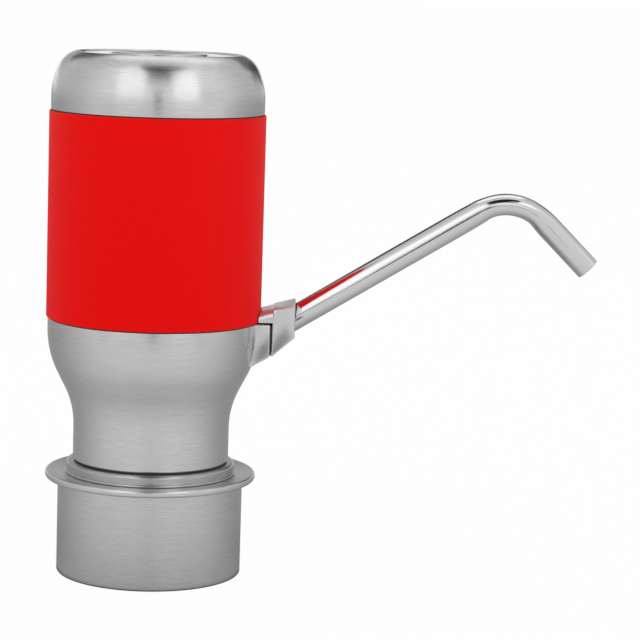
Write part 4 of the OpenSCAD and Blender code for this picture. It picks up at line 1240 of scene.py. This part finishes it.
    def arm(self, left: float, top_z: float) -> bpy.types.Object:
        """Models the holder's arm, which lies over the bracket and ends just short of the sleeve.

        Args:
            left: X of the holder's back.
            top_z: the height of its top at the front.

        Returns:
            The arm.
        """
        inner = self.half_w - self.arm_inset
        foot_z = self.bracket_top + self.gap
        arm = Bench.box("arm_tool", (self.arm_x, -inner, foot_z), (left + self.arm_lap, inner, self.high_z))
        Bench.slice(arm, Vector((self.reach, 0.0, top_z - self.arm_inset)), self.square_to(self.top_slope))
        side, low = inner - self.near, foot_z + self.arm_round
        Bench.round_edges(arm, self.arm_round, lambda middle: abs(middle.y) > side and middle.z > low)
        ends = (Vector((0.0, 0.0, z)) for z in self.sleeve_gap_z)
        wall = Bench.rod("sleeve_tool", self.sleeve_gap_r, *ends, self.sleeve_gap_sides)
        Bench.combine(arm, wall, Joining.CUT)
        return arm

    def groove(self) -> bpy.types.Object:
        """Models the ring that is cut out of the plug for the O-ring.

        Returns:
            The ring.
        """
        first, last = self.ring_s - self.ring_w / 2, self.ring_s + self.ring_w / 2
        past = self.groove_past
        ring = self.rod("groove_tool", self.spigot_r + past, first, last)
        Bench.combine(ring, self.rod("groove_core", self.groove_r, first - past, last + past), Joining.CUT)
        return ring

    def seal(self) -> bpy.types.Object:
        """Models the dark seal that fills the holder's mouth round the tube.

        Returns:
            The seal.
        """
        start, end = self.on_axis(self.root_s + self.seal_start), self.on_axis(self.mouth_s)
        ring = Bench.rod("spout_seal_rubber", self.tube_r + self.seal_w - self.seal_clear, start, end)
        core = Bench.rod("seal_core", self.tube_r + self.seal_clear, start * self.seal_core_share, end)
        Bench.combine(ring, core, Joining.CUT)
        Bench.slice(ring, Vector((self.reach - self.seal_inset, 0.0, 0.0)), Vector((1.0, 0.0, 0.0)))
        return ring

    def tube(self) -> bpy.types.Object:
        """Models the tube: a ring drawn along the axis, turned round the bend and drawn on to the tip.

        Returns:
            The tube, flattened a little in the bend as bent pipe is.
        """
        Bench.clear()
        tilt = math.radians(90 - self.rise)
        start = self.on_axis(self.root_s)
        along = (self.on_axis(1.0) - self.on_axis(0.0)).normalized()
        side = Vector((math.sin(math.radians(self.rise)), 0.0, -math.cos(math.radians(self.rise))))
        pivot = self.on_axis(self.bend_s) + side * self.bend_r
        bpy.ops.mesh.primitive_circle_add(
            vertices=self.sides, radius=self.tube_r * MM, location=start * MM, rotation=(0.0, tilt, 0.0)
        )
        piece = Bench.settle("spout_tube_polished")
        Bench.edit(piece)
        straight = (self.bend_s - self.root_s) * MM
        for share in self.straight_shares:
            bpy.ops.mesh.extrude_region_move(TRANSFORM_OT_translate={"value": along * straight * share})
        step = math.radians(self.turn) / self.bend_steps
        for _ in range(self.bend_steps):
            bpy.ops.mesh.extrude_region_move()
            bpy.ops.transform.rotate(value=-step, orient_axis="Y", center_override=pivot * MM)
        onward = Matrix.Rotation(math.radians(self.turn), 3, "Y") @ along
        for share in self.tip_shares:
            bpy.ops.mesh.extrude_region_move(TRANSFORM_OT_translate={"value": onward * self.tip * MM * share})
        Bench.close()
        self.flatten(piece, pivot, along)
        Bench.apply(piece, "SOLIDIFY", thickness=self.tube_wall * MM, offset=-1.0, use_even_offset=True)
        Bench.soften(piece, self.tip_round, 3)
        return piece

    def flatten(self, piece: bpy.types.Object, pivot: Vector, along: Vector) -> None:
        """Squeezes the bend's section towards the pivot and lets it bulge sideways.

        Args:
            piece: the tube.
            pivot: the bend's centre, in millimetres.
            along: the direction of the first straight stretch.
        """
        out = Vector((-along.z, 0.0, along.x))
        for vertex in piece.data.vertices:
            place = vertex.co / MM - pivot
            swing = math.degrees(math.atan2(place.dot(along), place.dot(out)))
            inside = min(swing + self.squeeze_past, self.turn + self.squeeze_past - swing)
            share = max(0.0, min(1.0, inside / self.squeeze_ramp))
            share = share * share * (3 - 2 * share)
            flat = Vector((place.x, 0.0, place.z))
            if share <= 0.0 or flat.length < WELD:
                continue
            spare = math.radians(max(0.0, -swing, swing - self.turn))
            centre = self.bend_r / max(math.cos(spare), self.least_cosine)
            offset = (flat.length - centre) * (1 + (self.squeeze - 1) * share)
            bulge = Vector((0.0, place.y * (1 + (self.bulge - 1) * share), 0.0))
            vertex.co = (pivot + flat.normalized() * (centre + offset) + bulge) * MM


@dataclass(frozen=True)
class Card:
    """A grey card that the metal reflects."""

    name: str
    place: Place
    size: Point
    grey: float
    faces: Place = MIDDLE
    tilt: float = 0.0
    one_sided: bool = False


@dataclass(frozen=True)
class Lamp:
    """A soft rectangular lamp that faces the object."""

    name: str
    place: Place
    size: Point
    power: float


LAMPS = (
    Lamp("left_softbox", (-0.46, -0.885, 0.67), (0.62, 0.8), 0.54),
    Lamp("right_softbox", (0.56, -0.835, 0.62), (0.54, 0.85), 0.64),
    Lamp("top_softbox", (0.05, 0.45, 1.10), (0.9, 0.6), 1.0),
)
CARDS = (
    Card("overhead_card", (0.10, -0.90, 1.16), (0.74, 1.20), 0.01, (0.10, -0.90, 0.0)),
    Card("front_card", (0.05, -1.0, 0.24), (0.14, 0.24), 0.07),
    Card("back_card", (0.30, 1.06, 0.60), (1.2, 0.48), 0.16),
    Card("left_back_card", (-0.40, 0.86, 0.80), (0.5, 0.45), 0.05),
    Card("spout_card", (0.098, 0.13, 0.202), (0.08, 0.045), 0.05, (0.098, 0.0, 0.19), -SPOUT_RISE),
    Card("holder_card", (0.0416, -0.022, 0.0731), (0.016, 0.008), 0.2, (0.0416, 0.0, 0.0731), 36.0, True),
    Card("tip_card", (0.215, -0.115, 0.155), (0.15, 0.13), 0.8, (0.14, 0.0, 0.11)),
    Card("table_edge_card", (0.0, -1.6, 0.05), (5.0, 0.13), 0.05, (0.0, 0.0, 0.05)),
)


@dataclass
class Studio:
    """The floor, the soft light, the grey cards that the metal reflects, and the camera."""

    camera_place: Place = (0.046973, -0.791792, 0.201074)
    yaw: float = 0.5582
    pitch: float = 8.2918
    roll: float = 1.8664
    lens: float = 136.83
    sensor: float = 36.0
    floor_size: float = 30.0
    side_turn: float = 8.0
    side_span: Point = (-0.75, 0.35)
    side_shade: float = 0.62
    back_span: Point = (0.75, 0.94)
    back_rise: Point = (0.07, 0.15)
    back_shade: float = 0.45
    floor_span: Point = (-1.0, 0.87)
    floor_grey: float = 0.62
    floor_glow: float = 0.97
    floor_shine: float = 0.8
    floor_front: float = 0.79
    floor_back: float = 0.26
    # Painted shadows in what the metal reflects of the floor: a dark ring where the cup stands, and shade
    # round the base.
    contact_r: Point = (0.0305, 0.0335)
    contact_shade: float = 0.05
    near_r: Point = (0.02, 0.13)
    near_shade: float = 0.5

    def build(self) -> None:
        """Sets the view, the camera and the world, and adds the floor, the lamps and the cards."""
        self.set_view()
        self.set_camera()
        self.set_world()
        self.add_floor()
        for lamp in LAMPS:
            self.add_lamp(lamp)
        for card in CARDS:
            self.add_card(card)

    @staticmethod
    def set_view() -> None:
        """Leaves colours as they are written."""
        bpy.context.scene.view_settings.view_transform = "Standard"

    def set_camera(self) -> None:
        """Places the camera where the photograph was taken from."""
        yaw, pitch, roll = (math.radians(a) for a in (self.yaw, self.pitch, self.roll))
        ahead = Vector((math.sin(yaw) * math.cos(pitch), math.cos(yaw) * math.cos(pitch), -math.sin(pitch)))
        level = Vector((math.cos(yaw), -math.sin(yaw), 0.0))
        above = level.cross(ahead)
        right = level * math.cos(roll) + above * math.sin(roll)
        up = above * math.cos(roll) - level * math.sin(roll)
        Bench.clear()
        bpy.ops.object.camera_add(location=self.camera_place)
        camera = bpy.context.object
        camera.rotation_euler = Matrix((right, up, -ahead)).transposed().to_euler()
        camera.data.lens = self.lens
        camera.data.sensor_width = self.sensor
        bpy.context.scene.camera = camera

    def set_world(self) -> None:
        """Sets the world: white, but white to grey from front to back in what the metal reflects."""
        world = bpy.data.worlds.new("studio")
        world.use_nodes = True
        bpy.context.scene.world = world
        tree = NodeTree(world.node_tree)
        path = tree.add("ShaderNodeLightPath")
        turn = tree.add("ShaderNodeMapping")
        tree.feed(turn.inputs["Vector"], tree.add("ShaderNodeTexCoord").outputs["Generated"])
        turn.inputs["Rotation"].default_value = (0.0, 0.0, math.radians(-self.side_turn))
        split = tree.add("ShaderNodeSeparateXYZ")
        tree.feed(split.inputs[0], turn.outputs[0])
        sides = self.ramp(tree, split.outputs["Y"], self.side_span, (1.0, self.side_shade))
        behind = self.ramp(tree, split.outputs["Y"], self.back_span, (0.0, 1.0))
        changes = (1.0 - self.side_shade, self.back_shade - self.side_shade)
        change = self.ramp(tree, split.outputs["Z"], self.back_rise, changes)
        darker = tree.math("SUBTRACT", tree.math("MULTIPLY_ADD", behind, change, sides), 1.0)
        level = tree.math("MULTIPLY_ADD", path.outputs["Is Glossy Ray"], darker, 1.0)
        back = world.node_tree.nodes["Background"]
        back.inputs["Color"].default_value = (1.0, 1.0, 1.0, 1.0)
        tree.feed(back.inputs["Strength"], level)

    @staticmethod
    def ramp(tree: NodeTree, value: bpy.types.NodeSocket, span: Point, levels: Point) -> bpy.types.NodeSocket:
        """Turns a value into a smooth step between two levels.

        Args:
            tree: the tree that it goes into.
            value: the value.
            span: where the step starts and ends.
            levels: the result before and after it.

        Returns:
            The result's socket.
        """
        node = tree.add("ShaderNodeMapRange", interpolation_type="SMOOTHSTEP")
        tree.feed(node.inputs["Value"], value)
        for name, number in zip(("From Min", "From Max", "To Min", "To Max"), (*span, *levels)):
            node.inputs[name].default_value = number
        return node.outputs[0]

    @staticmethod
    def bare_material(thing: bpy.types.Object, name: str) -> tuple[NodeTree, bpy.types.NodeSocket]:
        """Gives a thing a new material that has only its output.

        Args:
            thing: the floor or a card.
            name: the material's name.

        Returns:
            The material's tree and the socket that takes its surface.
        """
        material = bpy.data.materials.new(name)
        material.use_nodes = True
        nodes = material.node_tree.nodes
        nodes.remove(nodes["Principled BSDF"])
        thing.data.materials.append(material)
        return NodeTree(material.node_tree), nodes["Material Output"].inputs["Surface"]

    @staticmethod
    def mix(tree: NodeTree, *sources: bpy.types.NodeSocket) -> bpy.types.NodeSocket:
        """Mixes two shaders.

        Args:
            tree: the tree that the mix goes into.
            sources: the second shader's share, the first shader and the second.

        Returns:
            The mixed shader's socket.
        """
        node = tree.add("ShaderNodeMixShader")
        for socket, source in zip(node.inputs, sources):
            tree.feed(socket, source)
        return node.outputs[0]

    def add_floor(self) -> None:
        """Adds a pale floor, nearly white to the camera, that keeps a faint shadow; in what the metal
        reflects, its shade is painted: darker towards the back, with a painted shadow round the base and a
        dark painted ring where the cup stands.
        """
        Bench.clear()
        bpy.ops.mesh.primitive_plane_add(size=self.floor_size)
        floor = bpy.context.object
        floor.name = "floor"
        tree, surface = self.bare_material(floor, "pale_floor")
        matte = tree.add("ShaderNodeBsdfDiffuse")
        matte.inputs["Color"].default_value = (self.floor_grey, self.floor_grey, self.floor_grey, 1.0)
        glow = tree.add("ShaderNodeEmission")
        path = tree.add("ShaderNodeLightPath")
        seen = tree.math("MULTIPLY", path.outputs["Is Camera Ray"], self.floor_glow)
        shine = tree.math("MULTIPLY", path.outputs["Is Glossy Ray"], self.floor_shine)
        place = tree.add("ShaderNodeTexCoord").outputs["Object"]
        way = tree.add("ShaderNodeVectorMath", operation="NORMALIZE")
        far = tree.add("ShaderNodeVectorMath", operation="LENGTH")
        split = tree.add("ShaderNodeSeparateXYZ")
        tree.feed(way.inputs[0], place)
        tree.feed(far.inputs[0], place)
        tree.feed(split.inputs[0], way.outputs[0])
        # Painted shade and painted shadows, seen only in reflections: darker towards the back, darkest at the
        # cup's foot, and darker round the base.
        across = self.ramp(tree, split.outputs["Y"], self.floor_span, (self.floor_front, self.floor_back))
        contact = self.ramp(tree, far.outputs["Value"], self.contact_r, (self.contact_shade, 1.0))
        near = self.ramp(tree, far.outputs["Value"], self.near_r, (self.near_shade, 1.0))
        shade = tree.math("MULTIPLY", across, tree.math("MULTIPLY", contact, near))
        tree.feed(glow.inputs["Strength"], tree.math("MAXIMUM", path.outputs["Is Camera Ray"], shade))
        share = tree.math("MAXIMUM", seen, shine)
        tree.feed(surface, self.mix(tree, share, matte.outputs[0], glow.outputs[0]))

    @staticmethod
    def aim(thing: bpy.types.Object, target: Place = MIDDLE) -> None:
        """Turns a lamp or card towards a point."""
        thing.rotation_euler = (Vector(target) - thing.location).to_track_quat("-Z", "Y").to_euler()

    def add_lamp(self, lamp: Lamp) -> None:
        """Adds a soft rectangular lamp.

        Args:
            lamp: its place, its width and height, and its power in watts.
        """
        Bench.clear()
        bpy.ops.object.light_add(type="AREA", location=lamp.place)
        light = bpy.context.object
        light.name = lamp.name
        light.data.shape = "RECTANGLE"
        light.data.size, light.data.size_y = lamp.size
        light.data.energy = lamp.power
        self.aim(light)

    def add_card(self, card: Card) -> None:
        """Adds a grey card that only reflections show.

        Args:
            card: the card.
        """
        Bench.clear()
        bpy.ops.mesh.primitive_plane_add(size=1.0, location=card.place)
        plane = bpy.context.object
        plane.name = card.name
        plane.scale = (*card.size, 1.0)
        self.aim(plane, card.faces)
        plane.rotation_euler.rotate_axis("Z", math.radians(card.tilt))
        tree, surface = self.bare_material(plane, card.name)
        glow = tree.add("ShaderNodeEmission")
        glow.inputs["Color"].default_value = (card.grey, card.grey, card.grey, 1.0)
        shader = glow.outputs[0]
        if card.one_sided:
            behind = tree.add("ShaderNodeNewGeometry").outputs["Backfacing"]
            clear = tree.add("ShaderNodeBsdfTransparent").outputs[0]
            shader = self.mix(tree, behind, clear, shader)
        tree.feed(surface, shader)
        plane.visible_camera = False
        plane.visible_diffuse = False
        plane.visible_shadow = False


def main() -> None:
    """Builds the studio and every piece."""
    logging.basicConfig(level=logging.INFO, format="%(message)s")
    Studio().build()
    dresser = Dresser()
    dresser.dress_solids()
    bell = Bell()
    Base().build(dresser)
    bell.build(dresser)
    Sleeve().build(dresser)
    Cap().build(dresser)
    Diaphragm().build(dresser)
    Spout().build(dresser, bell)


if __name__ == "__main__":
    main()
